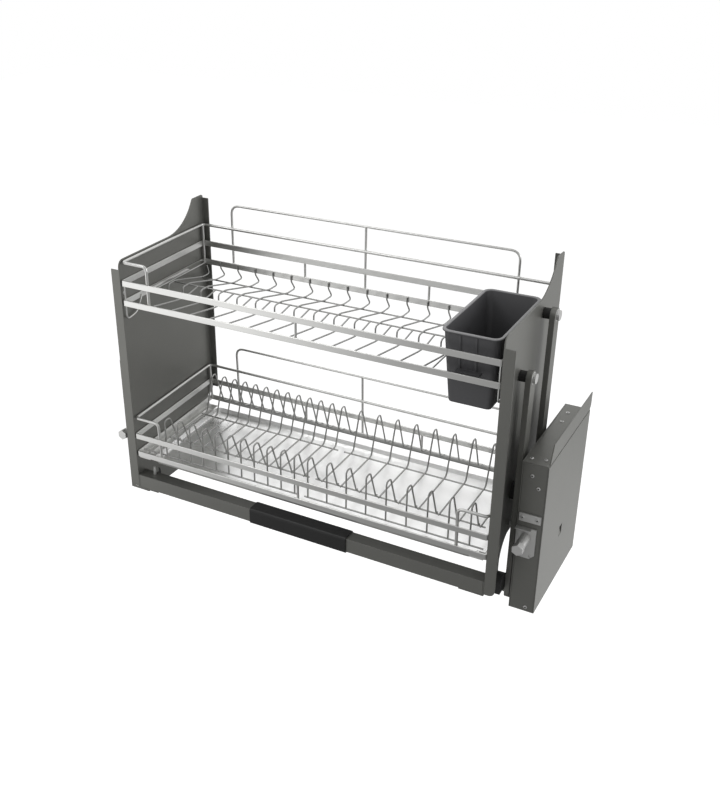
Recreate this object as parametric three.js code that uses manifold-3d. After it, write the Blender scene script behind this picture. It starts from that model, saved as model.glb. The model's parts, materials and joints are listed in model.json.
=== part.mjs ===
// Pull-down dish rack for a wall cabinet, drawn in its raised position.
// Millimetres, +Z up, +X to the right and +Y towards the back of the cabinet.
// Two spring housings are fixed to the cabinet's sides. On each of them two parallel arms carry a carriage
// with two wire baskets, which swings forward and down, and stays level, when its handle is pulled.
// Heights are measured from the foot of the carriage, depths from its front edge and insets from the rear
// edges of its plates. One group at the end moves the whole rack, so that the origin is under its middle, on
// the level of the housings' undersides.
import * as THREE from 'three';
import { mergeVertices } from 'three/addons/utils/BufferGeometryUtils.js';
import Module from 'manifold-3d';

const wasm = await Module();
wasm.setup();

// Clearances shared by all pieces
const seatGap = 0.3;
const weldDepth = 0.5;
const crossedWireShare = 1.4;
const overrun = 2;
const sheet = 2;

// Carriage side plates
const plateInnerX = 355.5;
const plateDepth = 266;
const plateTopZ = 463;
const plateCornerRadius = 15;
const hornTopZ = 514.5;
const hornDepth = 117.5;
const hornRadius = 92;
const hornLip = 6;
const stripDepth = 62;
const cutStartZ = 22;
const cutRadius = 50;
const rearFootZ = 92;
const rearFootRadius = 12;
const frontFlangeWidth = 16.5;
const frontFlangeTopZ = 445;
const flangeCornerRadius = 12;
const rearFlangeWidth = 15;

// Handle
const barDepth = 25;
const barHeight = 27;
const barBottomZ = -2;
const barWall = 1.6;
const gripLength = 198;
const gripWall = 2.6;
const gripRadius = 5;
const saddleFootLength = 44;
const saddleSheet = 1.8;
const saddleDepth = 26;

// Basket rings of flat bar, and the round wires welded to them
const ringFrontY = 1;
const ringBackInset = 7.5;
const ringBarThickness = 3;
const ringBarHeight = 11;
const ringCornerRadius = 4.2;
const guardRadius = 2.8;
const postRadius = 2.3;
const wireBendRadius = 9;
const guardLegX = 300;
const loopHalfWidth = 286;
const backPostX = 126;
const upperRingTopZ = 426;
const upperLowRingTopZ = 388.5;
const upperGuardZ = 458;
const upperGuardEndInset = 22;
const upperLoopZ = 503.5;
const lowerRingTopZ = 121.3;
const lowerLowRingTopZ = 82.3;
const lowerGuardZ = 153;
const lowerLoopZ = 203.5;
const lowerTilt = 2;
const lowerTiltY = 130;
const clipRadius = 1.5;
const clipReach = 30;
const clipTailReach = 17;
const clipDrop = 27;
const clipRise = 5;
const binRestX = 240;
const binRestInset = 50;
const binRestFrontY = 11.2;

// Bowl rack: waves at the back, shallow troughs at the front
const rackWireRadius = 1.5;
const bowlPitch = 40;
const waveFirstX = -313;
const troughFirstX = -293;
const edgeWaveX = 346.2;
const hookDrop = 2;
const hookLength = 10.5;
const waveLowOverhang = 2;
const edgeWaveLowInset = 5;
const waveLowZ = 356.5;
const waveCrestInset = 116;
const waveCrestZ = 379;
const waveStepInset = 140;
const waveStepFootZ = 359;
const waveRearZ = 357;
const waveRearWireInset = 28;
const waveBend = 7;
const troughStartY = 6;
const troughLowInset = 166;
const troughLowZ = 369;
const troughEndInset = 119;
const rackFrontY = 11.2;
const bowlFrontDrop = 6;

// Plate racks: front arches and, at slightly closer pitches, the floor wires that rise again at the back
const narrowPitch = 24.5;
const narrowLastX = -12;
const narrowArchPitch = 28;
const narrowArchLastX = -10;
const widePitch = 37.5;
const wideFirstX = 25.5;
const wideArchPitch = 38;
const wideArchFirstX = 17;
const rackStub = 7;
const frontWireZ = 80.2;
const archTopZ = 155;
const archTopBackY = 27;
const archFootY = 50;
const archTail = 5;
const finFloorZ = 96;
const finFrontY = 47;
const finRearFootInset = 96;
const finRearPeakInset = 59.5;
const finRearPeakZ = 166;
const finPeakWidth = 9;
const finBackInset = 44;
const finBackZ = 99;
const finHookInset = 57;
const finHookZ = 91.5;
const finBend = 6;

// Slotted strips beside the upper basket's floor
const stripFrontY = 60;
const stripBackInset = 26;
const stripWidth = 13.5;
const stripTabLength = 46;
const stripLimb = 2.8;

// Drip tray and the rails that it slides on
const trayRailWidth = 22;
const trayRailSheet = 1.6;
const trayRailFrontY = 12;
const trayRailBackInset = 20;
const trayRailDrop = 6;
const trayRailSlotLength = 44;
const trayRailSlotWidth = 6;
const traySheet = 1.2;
const trayPanHalfWidth = 330;
const trayFrontY = 12;
const trayBackInset = 26;
const trayDepth = 9;
const trayCornerRadius = 14;
const trayLipWidth = 14;

// Cutlery bin
const binLeftX = 248;
const binRightX = 346;
const binFrontY = 14;
const binBackInset = 55;
const binRimZ = 450;
const binBottomZ = 324;
const binRibEndZ = 378;
const binTaper = 13;
const binWall = 2;
const binCornerRadius = 14;
const binRimWidth = 3;
const binRimHeight = 4;
const binRibWidth = 5;
const binRibDepth = 1.2;
const binLedgeThickness = 3;
const binLedgeWidth = 40;

// Arms and their pivots
const armThickness = 9;
const armWidth = 24;
const armHousingClearance = 3;
const frontUpperPivotY = 84;
const frontUpperPivotZ = 367;
const rearPivotOffsetY = 97;
const rearPivotOffsetZ = 70;
const frontLowerPivotY = 77;
const frontLowerPivotZ = -35;
const pivotBoltRadius = 5;
const pivotRunningGap = 0.25;
const boltHeadRadius = 8.5;
const boltHeadHeight = 5;
const spacerRadius = 9;
const lowerShaftRadius = 8;
const restPinRadius = 5;

// Rubber stops and studs on the outside of the side plates
const stopBlockDepth = 30;
const stopBlockHeight = 34;
const stopBlockTopZ = 10;
const bumperY = 96;
const bumperZ = 152;
const bumperDepth = 16;
const bumperHeight = 30;
const guideStudY = 101;
const guideStudZ = 84;
const guideStudRadius = 4.5;

// Spring housings
const housingPlateGap = 24.5;
const housingWidth = 44;
const housingFrontY = 59;
const housingDepth = 225;
const housingBottomZ = -54;
const housingHeight = 287;
const wallFlangeHeight = 31;
const wallFlangeFrontInset = 6;
const wallFlangeBackReach = 5;
const wallFlangeBevel = 14;
const bushRadius = 11;
const bushFlangeRadius = 15;
const bushFlangeHeight = 1.5;
const stopPlateZ = 132;
const stopPlateHeight = 15;
const stopPlateInset = 1.5;
const frontPlateThickness = 3;
const adjusterInset = 18;
const adjusterZ = 94;
const adjusterPlateWidth = 34;
const adjusterPlateTopZ = 113;
const adjusterPlateBottomZ = 55;
const adjusterPlateChamfer = 8;
const adjusterLipReach = 8;
const adjusterBarrelRadius = 8.5;
const adjusterBarrelLength = 30;
const adjusterTipRadius = 10;
const adjusterTipLength = 11;
const adjusterThreadRadius = 4;
const adjusterThreadLength = 62;
const springLeverThickness = 13;
const springLeverWidth = 26;
const springLeverLean = 20;
const springMeanRadius = 15;
const springWireRadius = 1.8;
const springTurns = 3;
const springPitch = 4.2;
const springTail = 26;
const damperRadius = 24;
const damperLength = 24;
const damperEarReach = 38;
const damperEarWidth = 16;
const damperEarThickness = 5;

// Smoothness of curves
const wireSides = 6;
const rackSides = 5;
const bendSteps = 2;
const roundSteps = 16;
const curveSteps = 6;
const springStepsPerTurn = 9;

// Derived places
const plateOuterX = plateInnerX + sheet;
const ringHalfWidth = plateInnerX - seatGap;
const ringInsideX = ringHalfWidth - ringBarThickness;
const ringBackY = plateDepth - ringBackInset;
const upperGuardEndY = plateDepth - upperGuardEndInset;
const binRestY = plateDepth - binRestInset;
const waveLowY = plateDepth + waveLowOverhang;
const edgeWaveLowY = plateDepth - edgeWaveLowInset;
const waveRearWireY = plateDepth - waveRearWireInset;
const waveCrestY = plateDepth - waveCrestInset;
const waveStepY = plateDepth - waveStepInset;
const troughLowY = plateDepth - troughLowInset;
const troughEndY = plateDepth - troughEndInset;
const finRearFootY = plateDepth - finRearFootInset;
const finRearPeakY = plateDepth - finRearPeakInset;
const finBackY = plateDepth - finBackInset;
const finHookY = plateDepth - finHookInset;
const stripBackY = plateDepth - stripBackInset;
const trayRailBackY = plateDepth - trayRailBackInset;
const trayBackY = plateDepth - trayBackInset;
const binBackY = plateDepth - binBackInset;
const rackEndX = ringInsideX - trayRailWidth;
const waveCount = copiesWithin(troughFirstX, bowlPitch, binRestX);
const narrowCount = copiesWithin(-narrowLastX, narrowPitch, rackEndX);
const narrowArchCount = copiesWithin(-narrowArchLastX, narrowArchPitch, guardLegX);
const wideCount = copiesWithin(wideFirstX, widePitch, rackEndX);
const wideArchCount = copiesWithin(wideArchFirstX, wideArchPitch, rackEndX);
const housingInnerX = plateOuterX + housingPlateGap;
const adjusterX = housingInnerX + adjusterInset;
const armInnerX = housingInnerX - armHousingClearance - armThickness;
const armOuterX = armInnerX + armThickness;
const housingOuterX = housingInnerX + housingWidth;
const housingBackY = housingFrontY + housingDepth;
const housingTopZ = housingBottomZ + housingHeight;
const gripFrontY = -seatGap - gripWall;

const paint = material(0x5f605c, 0.42, 0.65);
const steel = material(0xbfbfba, 0.28, 0.95);
const wireSteel = material(0xc9c9c5, 0.2, 1);
const traySteel = material(0xd4d4d2, 0.12, 1);
const zinc = material(0x9b9b97, 0.35, 0.9);
const darkPlastic = material(0x3f3f41, 0.5, 0);
const blackPlastic = material(0x171717, 0.55, 0);
const springSteel = material(0x55565a, 0.4, 0.9);

// How many wires a row holds between its first place and its limit
function copiesWithin(firstX, pitch, limitX) {
  return Math.floor((limitX - firstX) / pitch) + 1;
}

function material(color, roughness, metalness) {
  return new THREE.MeshStandardMaterial({ color, roughness, metalness });
}

// Geometry with shared vertices and positions only, as a closed mesh
function closed(geometry) {
  const plain = geometry.clone();
  plain.deleteAttribute('normal');
  plain.deleteAttribute('uv');
  return mergeVertices(plain);
}

function toSolid(geometry) {
  const mesh = closed(geometry);
  const vertProperties = Float32Array.from(mesh.attributes.position.array);
  const triVerts = Uint32Array.from(mesh.index.array);
  return new wasm.Manifold(new wasm.Mesh({ numProp: 3, vertProperties, triVerts }));
}

function toGeometry(solid) {
  const mesh = solid.getMesh();
  const geometry = new THREE.BufferGeometry();
  geometry.setAttribute('position', new THREE.BufferAttribute(Float32Array.from(mesh.vertProperties), 3));
  geometry.setIndex(new THREE.BufferAttribute(Uint32Array.from(mesh.triVerts), 1));
  return geometry;
}

function join(geometries) {
  return toGeometry(geometries.map(toSolid).reduce((whole, piece) => whole.add(piece)));
}

function cut(geometry, tools) {
  return toGeometry(tools.map(toSolid).reduce((whole, tool) => whole.subtract(tool), toSolid(geometry)));
}

// A box between two corners, whichever way round they are given
function box(x0, x1, y0, y1, z0, z1) {
  const geometry = new THREE.BoxGeometry(Math.abs(x1 - x0), Math.abs(y1 - y0), Math.abs(z1 - z0));
  return geometry.translate((x0 + x1) / 2, (y0 + y1) / 2, (z0 + z1) / 2);
}

function extrude(shape, length) {
  return new THREE.ExtrudeGeometry(shape, { depth: length, bevelEnabled: false, curveSegments: curveSteps });
}

// Outlines drawn in Y and Z, in X and Z, and in X and Y, given a thickness along the third axis
function extrudeAlongX(shape, x0, x1) {
  const turn = new THREE.Matrix4().makeBasis(axis(0, 1, 0), axis(0, 0, 1), axis(1, 0, 0));
  return extrude(shape, Math.abs(x1 - x0)).applyMatrix4(turn).translate(Math.min(x0, x1), 0, 0);
}

function extrudeAlongY(shape, y0, y1) {
  const turn = new THREE.Matrix4().makeBasis(axis(1, 0, 0), axis(0, 0, 1), axis(0, -1, 0));
  return extrude(shape, Math.abs(y1 - y0)).applyMatrix4(turn).translate(0, Math.max(y0, y1), 0);
}

function extrudeAlongZ(shape, z0, z1) {
  return extrude(shape, Math.abs(z1 - z0)).translate(0, 0, Math.min(z0, z1));
}

function axis(x, y, z) {
  return new THREE.Vector3(x, y, z);
}

function cylinderAlongX(radius, x0, x1, y, z, sides = roundSteps) {
  const geometry = new THREE.CylinderGeometry(radius, radius, Math.abs(x1 - x0), sides);
  return geometry.rotateZ(Math.PI / 2).translate((x0 + x1) / 2, y, z);
}

function cylinderAlongY(radius, x, y0, y1, z, sides = roundSteps) {
  const geometry = new THREE.CylinderGeometry(radius, radius, Math.abs(y1 - y0), sides);
  return geometry.translate(x, (y0 + y1) / 2, z);
}

function roundedRect(x0, x1, y0, y1, radius, Outline = THREE.Shape) {
  const outline = new Outline();
  outline.moveTo(x0 + radius, y0);
  outline.lineTo(x1 - radius, y0);
  outline.absarc(x1 - radius, y0 + radius, radius, -Math.PI / 2, 0);
  outline.lineTo(x1, y1 - radius);
  outline.absarc(x1 - radius, y1 - radius, radius, 0, Math.PI / 2);
  outline.lineTo(x0 + radius, y1);
  outline.absarc(x0 + radius, y1 - radius, radius, Math.PI / 2, Math.PI);
  outline.lineTo(x0, y0 + radius);
  outline.absarc(x0 + radius, y0 + radius, radius, Math.PI, 1.5 * Math.PI);
  return outline;
}

// A bar with two round ends, in the plane of its outline
function slotOutline(u0, v0, u1, v1, width) {
  const angle = Math.atan2(v1 - v0, u1 - u0);
  const outline = new THREE.Shape();
  outline.absarc(u0, v0, width / 2, angle + Math.PI / 2, angle + 1.5 * Math.PI);
  outline.absarc(u1, v1, width / 2, angle - Math.PI / 2, angle + Math.PI / 2);
  outline.closePath();
  return outline;
}

// A curve through given points, with one ring of the tube at each of them
class PointPath extends THREE.Curve {
  constructor(points) {
    super();
    this.points = points;
  }

  getPoint(t, target = new THREE.Vector3()) {
    const place = t * (this.points.length - 1);
    const index = Math.min(Math.floor(place), this.points.length - 2);
    return target.lerpVectors(this.points[index], this.points[index + 1], place - index);
  }

  getPointAt(u, target) {
    return this.getPoint(u, target);
  }

  getTangentAt(u, target = new THREE.Vector3()) {
    const last = this.points.length - 1;
    const index = Math.round(u * last);
    const ahead = this.points[Math.min(index + 1, last)].clone().sub(this.points[index]).normalize();
    const behind = this.points[index].clone().sub(this.points[Math.max(index - 1, 0)]).normalize();
    return target.copy(ahead).add(behind).normalize();
  }
}

function tube(points, radius, sides = wireSides) {
  const section = new THREE.Shape();
  for (let corner = 0; corner < sides; corner += 1) {
    const angle = (2 * Math.PI * corner) / sides;
    const place = [radius * Math.cos(angle), radius * Math.sin(angle)];
    if (corner === 0) section.moveTo(...place);
    else section.lineTo(...place);
  }
  return new THREE.ExtrudeGeometry(section, { steps: points.length - 1, extrudePath: new PointPath(points) });
}

// Rounds the corners of a bent wire
function bend(corners, radius, steps = bendSteps) {
  const points = [corners[0]];
  for (let index = 1; index < corners.length - 1; index += 1) {
    const corner = corners[index];
    const before = corners[index - 1].clone().sub(corner);
    const after = corners[index + 1].clone().sub(corner);
    const reach = Math.min(radius, before.length() / 2, after.length() / 2);
    const start = corner.clone().add(before.setLength(reach));
    const end = corner.clone().add(after.setLength(reach));
    const curve = new THREE.QuadraticBezierCurve3(start, corner, end);
    points.push(...curve.getPoints(steps));
  }
  points.push(corners[corners.length - 1]);
  return points;
}

function wire(corners, radius, bendRadius = wireBendRadius, sides = wireSides) {
  return tube(bend(corners.map((corner) => axis(...corner)), bendRadius), radius, sides);
}

// A closed skin through rings of points, with a flat cap at each end
function skin(rings) {
  const count = rings[0].length;
  const vertices = rings.flat().flatMap((point) => [point.x, point.y, point.z]);
  const faces = [];
  for (let ring = 0; ring < rings.length - 1; ring += 1) {
    for (let corner = 0; corner < count; corner += 1) {
      const next = (corner + 1) % count;
      const low = ring * count;
      const high = low + count;
      faces.push(low + corner, low + next, high + next, low + corner, high + next, high + corner);
    }
  }
  const top = (rings.length - 1) * count;
  for (let corner = 1; corner < count - 1; corner += 1) {
    faces.push(0, corner + 1, corner, top, top + corner, top + corner + 1);
  }
  const geometry = new THREE.BufferGeometry();
  geometry.setAttribute('position', new THREE.Float32BufferAttribute(vertices, 3));
  geometry.setIndex(faces);
  return geometry;
}

function rectRing(x0, x1, y0, y1, radius, z) {
  const outline = roundedRect(x0, x1, y0, y1, radius);
  return mergeRing(outline.getPoints(bendSteps)).map((point) => axis(point.x, point.y, z));
}

function mergeRing(points) {
  return points.filter((point, index) => point.distanceTo(points[(index + 1) % points.length]) > 1e-6);
}

const carriage = new THREE.Group();
const mechanisms = new THREE.Group();

function add(group, name, geometry, finish) {
  const mesh = new THREE.Mesh(closed(geometry), finish);
  mesh.name = name;
  group.add(mesh);
}

// Side plates, each with a flange folded outwards at the front and one folded inwards at the back

function plateOutline() {
  const hornRise = hornTopZ - hornLip - plateTopZ;
  const hornSweep = Math.acos((hornRadius - hornRise) / hornRadius);
  const hornStartY = plateDepth - hornDepth;
  const hornEndY = hornStartY + hornRadius * Math.sin(hornSweep);
  const outline = new THREE.Shape();
  outline.moveTo(0, 0);
  outline.lineTo(stripDepth, 0);
  outline.lineTo(stripDepth, cutStartZ);
  outline.absarc(stripDepth + cutRadius, cutStartZ, cutRadius, Math.PI, Math.PI / 2, true);
  outline.lineTo(plateDepth - rearFootRadius, rearFootZ);
  outline.quadraticCurveTo(plateDepth, rearFootZ, plateDepth, rearFootZ + rearFootRadius);
  outline.lineTo(plateDepth, hornTopZ - hornLip);
  outline.quadraticCurveTo(plateDepth, hornTopZ, plateDepth - hornLip, hornTopZ);
  outline.lineTo(hornEndY + hornLip, hornTopZ);
  outline.quadraticCurveTo(hornEndY + hornLip / 2, hornTopZ, hornEndY, hornTopZ - hornLip);
  outline.absarc(hornStartY, plateTopZ + hornRadius, hornRadius, hornSweep - Math.PI / 2, -Math.PI / 2, true);
  outline.lineTo(plateCornerRadius, plateTopZ);
  outline.quadraticCurveTo(0, plateTopZ, 0, plateTopZ - plateCornerRadius);
  return outline;
}

function frontFlangeOutline(side) {
  const outer = plateOuterX + frontFlangeWidth;
  const outline = new THREE.Shape();
  outline.moveTo(side * plateInnerX, 0);
  outline.lineTo(side * (outer - flangeCornerRadius), 0);
  outline.quadraticCurveTo(side * outer, 0, side * outer, flangeCornerRadius);
  outline.lineTo(side * outer, frontFlangeTopZ);
  outline.lineTo(side * plateInnerX, frontFlangeTopZ);
  return outline;
}

function sidePlate(side) {
  const innerFlangeX = side * (plateOuterX - rearFlangeWidth);
  const rearFlangeBottomZ = rearFootZ + rearFootRadius;
  const rearFlangeTopZ = hornTopZ - hornLip;
  return join([
    extrudeAlongX(plateOutline(), side * plateInnerX, side * plateOuterX),
    extrudeAlongY(frontFlangeOutline(side), 0, sheet),
    box(innerFlangeX, side * plateOuterX, plateDepth - sheet, plateDepth, rearFlangeBottomZ, rearFlangeTopZ),
  ]);
}

// Handle: a rectangular tube on an angled sheet saddle at each end, with a grip round its middle

function handleBar() {
  const halfLength = plateInnerX - seatGap - saddleSheet - seatGap;
  const outline = rectOutline(0, barDepth, barBottomZ, barBottomZ + barHeight);
  const inside = [barWall, barDepth - barWall, barBottomZ + barWall, barBottomZ + barHeight - barWall];
  outline.holes.push(rectOutline(...inside, THREE.Path));
  return extrudeAlongX(outline, -halfLength, halfLength);
}

function rectOutline(u0, u1, v0, v1, Outline = THREE.Shape) {
  const outline = new Outline();
  outline.moveTo(u0, v0);
  outline.lineTo(u1, v0);
  outline.lineTo(u1, v1);
  outline.lineTo(u0, v1);
  outline.closePath();
  return outline;
}

function handleGrip() {
  const bottom = barBottomZ - seatGap;
  const top = barBottomZ + barHeight + seatGap;
  const back = barDepth + seatGap;
  const outer = [gripFrontY, back + gripWall, bottom - gripWall, top + gripWall];
  const outline = roundedRect(...outer, gripRadius);
  outline.holes.push(rectOutline(-seatGap, back, bottom, top, THREE.Path));
  return extrudeAlongX(outline, -gripLength / 2, gripLength / 2);
}

function handleSaddle(side) {
  const webOuterX = plateInnerX - seatGap;
  const webInnerX = webOuterX - saddleSheet;
  const bottom = barBottomZ - seatGap;
  const top = barBottomZ + barHeight;
  return join([
    box(side * webInnerX, side * webOuterX, 0, saddleDepth, bottom - saddleSheet, top),
    box(side * (webOuterX - saddleFootLength), side * webOuterX, 0, saddleDepth, bottom - saddleSheet, bottom),
  ]);
}

// Basket frames: two rings of flat bar, a round guard wire above them, and a tall loop at the back

function ring(topZ) {
  const outer = [-ringHalfWidth, ringHalfWidth, ringFrontY, ringBackY];
  const inner = [outer[0] + ringBarThickness, outer[1] - ringBarThickness];
  inner.push(outer[2] + ringBarThickness, outer[3] - ringBarThickness);
  const outline = roundedRect(...outer, ringCornerRadius);
  outline.holes.push(roundedRect(...inner, ringCornerRadius - ringBarThickness, THREE.Path));
  const options = { depth: ringBarHeight, bevelEnabled: false, curveSegments: bendSteps };
  return new THREE.ExtrudeGeometry(outline, options).translate(0, 0, topZ - ringBarHeight);
}

// From a leg at the front left round to the back right corner, and on along the given end
function guardWire(guardZ, footZ, end) {
  const sideX = ringHalfWidth - guardRadius;
  const frontY = ringFrontY + ringBarThickness + guardRadius - weldDepth;
  const backY = ringBackY - ringBarThickness / 2;
  return wire([
    [-guardLegX, frontY, footZ],
    [-guardLegX, frontY, guardZ],
    [-sideX, frontY, guardZ],
    [-sideX, backY, guardZ],
    [sideX, backY, guardZ],
    ...end(sideX, frontY),
  ], guardRadius);
}

function basketFrame(topZ, lowTopZ, guardZ, loopZ, guardEnd) {
  const footZ = lowTopZ - ringBarHeight / 2;
  const postY = ringBackY + postRadius - weldDepth;
  const frontPostY = ringFrontY + ringBarThickness + postRadius - weldDepth;
  const cornerX = ringInsideX - postRadius + weldDepth;
  const cornerY = ringBackY - ringBarThickness - postRadius + weldDepth;
  const pieces = [
    ring(topZ),
    ring(lowTopZ),
    guardWire(guardZ, footZ, guardEnd),
    wire([
      [-loopHalfWidth, postY, footZ],
      [-loopHalfWidth, postY, loopZ],
      [loopHalfWidth, postY, loopZ],
      [loopHalfWidth, postY, footZ],
    ], postRadius, 2 * wireBendRadius),
    wire([[0, postY, footZ], [0, postY, loopZ]], postRadius),
    wire([[0, frontPostY, footZ], [0, frontPostY, topZ - ringBarHeight / 2]], postRadius),
  ];
  for (const side of [-1, 1]) {
    const backPost = [[side * backPostX, postY, footZ], [side * backPostX, postY, topZ - ringBarHeight / 2]];
    pieces.push(wire(backPost, postRadius));
    pieces.push(wire([[side * cornerX, cornerY, footZ], [side * cornerX, cornerY, guardZ]], postRadius));
  }
  return pieces;
}

// A wire clip below the front corner of the upper basket, in the plane of the side bar
function cornerClip(side) {
  const x = side * (ringInsideX - clipRadius + weldDepth);
  const y = ringFrontY + ringBarThickness + clipRadius - weldDepth / 2;
  const lowZ = upperLowRingTopZ - ringBarHeight - clipDrop;
  return wire([
    [x, y, upperRingTopZ - ringBarHeight / 2],
    [x, y, lowZ],
    [x, y + clipReach, lowZ + clipRise],
    [x, y + clipReach + clipTailReach, upperLowRingTopZ - ringBarHeight / 2],
  ], clipRadius, 2 * clipRise);
}

// Wires that the cutlery bin rests on, welded across the right end of the upper basket
function binRest() {
  const z = upperLowRingTopZ - ringBarHeight / 2;
  const insideFront = ringFrontY + ringBarThickness - weldDepth;
  const insideBack = ringBackY - ringBarThickness + weldDepth;
  const across = (y) => wire([[binRestX - clipRadius, y, z - weldDepth],
    [ringInsideX + weldDepth, y, z - weldDepth]], clipRadius);
  const along = wire([[binRestX, insideFront, z], [binRestX, insideBack, z]], clipRadius);
  return [along, across(binRestY), across(binRestFrontY)];
}

function upperBasketFrame() {
  const footZ = upperLowRingTopZ - ringBarHeight / 2;
  const guardEnd = (sideX) => [[sideX, upperGuardEndY, upperGuardZ], [sideX, upperGuardEndY, footZ]];
  const pieces = basketFrame(upperRingTopZ, upperLowRingTopZ, upperGuardZ, upperLoopZ, guardEnd);
  return join([...pieces, cornerClip(-1), cornerClip(1), ...binRest()]);
}

// The lower basket leans forwards
function tilted(geometry) {
  const angle = THREE.MathUtils.degToRad(lowerTilt);
  return geometry.translate(0, -lowerTiltY, -lowerLowRingTopZ).rotateX(angle)
    .translate(0, lowerTiltY, lowerLowRingTopZ);
}

function lowerBasketFrame() {
  const footZ = lowerLowRingTopZ - ringBarHeight / 2;
  const guardEnd = (sideX, frontY) => [
    [sideX, frontY, lowerGuardZ],
    [guardLegX, frontY, lowerGuardZ],
    [guardLegX, frontY, footZ],
  ];
  return tilted(join(basketFrame(lowerRingTopZ, lowerLowRingTopZ, lowerGuardZ, lowerLoopZ, guardEnd)));
}

// Bowl rack. Each wave wire starts at the inside of the back rail, passes under it, comes forward to the rear
// cross wire, crests and drops to a low cross wire. Each trough wire runs from the front rail down and up to
// the crest's cross wire.

function waveWire(x, startZ, lowY) {
  const hookY = ringBackY - ringBarThickness - seatGap - rackWireRadius;
  const hookEndZ = upperLowRingTopZ - hookDrop - hookLength;
  const hook = startZ > hookEndZ ? [[x, hookY, startZ], [x, hookY, hookEndZ]] : [[x, hookY, startZ]];
  return wire([
    ...hook,
    [x, lowY, waveLowZ],
    [x, waveRearWireY, waveRearZ],
    [x, waveCrestY, waveCrestZ],
    [x, waveStepY, waveCrestZ],
    [x, waveStepY, waveStepFootZ - rackWireRadius],
  ], rackWireRadius, waveBend, rackSides);
}

function crossWire(x0, x1, y, z) {
  return wire([[x0, y, z], [x1, y, z]], rackWireRadius, 0, rackSides);
}

function bowlRack() {
  const under = crossedWireShare * rackWireRadius;
  const crestWireZ = waveCrestZ - under;
  const wireZ = upperLowRingTopZ - bowlFrontDrop;
  const leftEndX = -edgeWaveX - rackWireRadius;
  const rightEndX = troughFirstX + (waveCount - 1) * bowlPitch + bowlPitch / 8;
  const hookStartZ = upperLowRingTopZ - hookDrop;
  const pieces = [
    crossWire(leftEndX, rightEndX, rackFrontY, wireZ),
    crossWire(leftEndX, rightEndX, troughEndY, crestWireZ),
    crossWire(leftEndX, rightEndX, waveRearWireY, waveRearZ - under),
    crossWire(leftEndX, rightEndX, waveStepY + under, waveStepFootZ),
    waveWire(-edgeWaveX, hookStartZ - hookLength, edgeWaveLowY),
  ];
  for (let index = 0; index < waveCount; index += 1) {
    const troughX = troughFirstX + index * bowlPitch;
    pieces.push(waveWire(waveFirstX + index * bowlPitch, hookStartZ, waveLowY));
    pieces.push(wire([
      [troughX, troughStartY, wireZ + under],
      [troughX, rackFrontY, wireZ + under],
      [troughX, troughLowY, troughLowZ],
      [troughX, troughEndY, crestWireZ],
    ], rackWireRadius, 4 * waveBend, rackSides));
  }
  return join(pieces);
}

// Plate racks. The arches stand behind the front rail and come down on the front cross wire. The floor wires
// run back over both cross wires, rise to a round peak and come down again in a small hook.

function arch(x) {
  return wire([
    [x, rackFrontY, frontWireZ],
    [x, rackFrontY, archTopZ],
    [x, archTopBackY, archTopZ],
    [x, archFootY, finFloorZ],
    [x, archFootY + archTail, finFloorZ],
  ], rackWireRadius, finBend, rackSides);
}

function fin(x) {
  const half = finPeakWidth / 2;
  return wire([
    [x, finFrontY, finFloorZ],
    [x, finRearFootY, finFloorZ],
    [x, finRearPeakY - half, finRearPeakZ],
    [x, finRearPeakY + half, finRearPeakZ],
    [x, finBackY, finBackZ],
    [x, finHookY, finHookZ],
  ], rackWireRadius, finBend, rackSides);
}

function plateRack(finXs, archXs, frontEnds) {
  const floorEnds = [Math.min(finXs[0], archXs[0]) - rackStub, Math.max(...finXs, ...archXs) + rackStub];
  const wireZ = finFloorZ - crossedWireShare * rackWireRadius;
  return join([
    crossWire(...frontEnds, rackFrontY, frontWireZ),
    crossWire(...floorEnds, archFootY + archTail / 2, wireZ),
    crossWire(...floorEnds, finRearFootY - finBend, wireZ),
    ...finXs.map(fin),
    ...archXs.map(arch),
  ]);
}

function spaced(firstX, pitch, count) {
  return Array.from({ length: count }, (unused, index) => firstX + index * pitch);
}

function wideRack() {
  const finXs = spaced(wideFirstX, widePitch, wideCount);
  const archXs = spaced(wideArchFirstX, wideArchPitch, wideArchCount);
  return plateRack(finXs, archXs, [wideArchFirstX - rackStub, ringInsideX - rackStub]);
}

function narrowRack() {
  const finXs = spaced(narrowLastX - (narrowCount - 1) * narrowPitch, narrowPitch, narrowCount);
  const firstArchX = narrowArchLastX - (narrowArchCount - 1) * narrowArchPitch;
  const archXs = spaced(firstArchX, narrowArchPitch, narrowArchCount);
  return plateRack(finXs, archXs, [rackStub - ringInsideX, narrowArchLastX + rackStub]);
}

// Flat strips with one long slot, beside the floor of the upper basket

function sideStrip(side) {
  const outerX = ringInsideX - seatGap;
  const innerX = outerX - stripWidth;
  const strip = box(side * innerX, side * outerX, stripFrontY, stripBackY,
    upperLowRingTopZ - trayRailSheet, upperLowRingTopZ);
  const slot = box(side * (innerX + stripLimb), side * (outerX - stripLimb), stripFrontY + stripWidth,
    stripBackY - stripTabLength, upperLowRingTopZ - trayRailSheet - overrun, upperLowRingTopZ + overrun);
  return cut(strip, [slot]);
}

// Angle rails with slots below the lower basket's sides, for the drip tray

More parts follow.
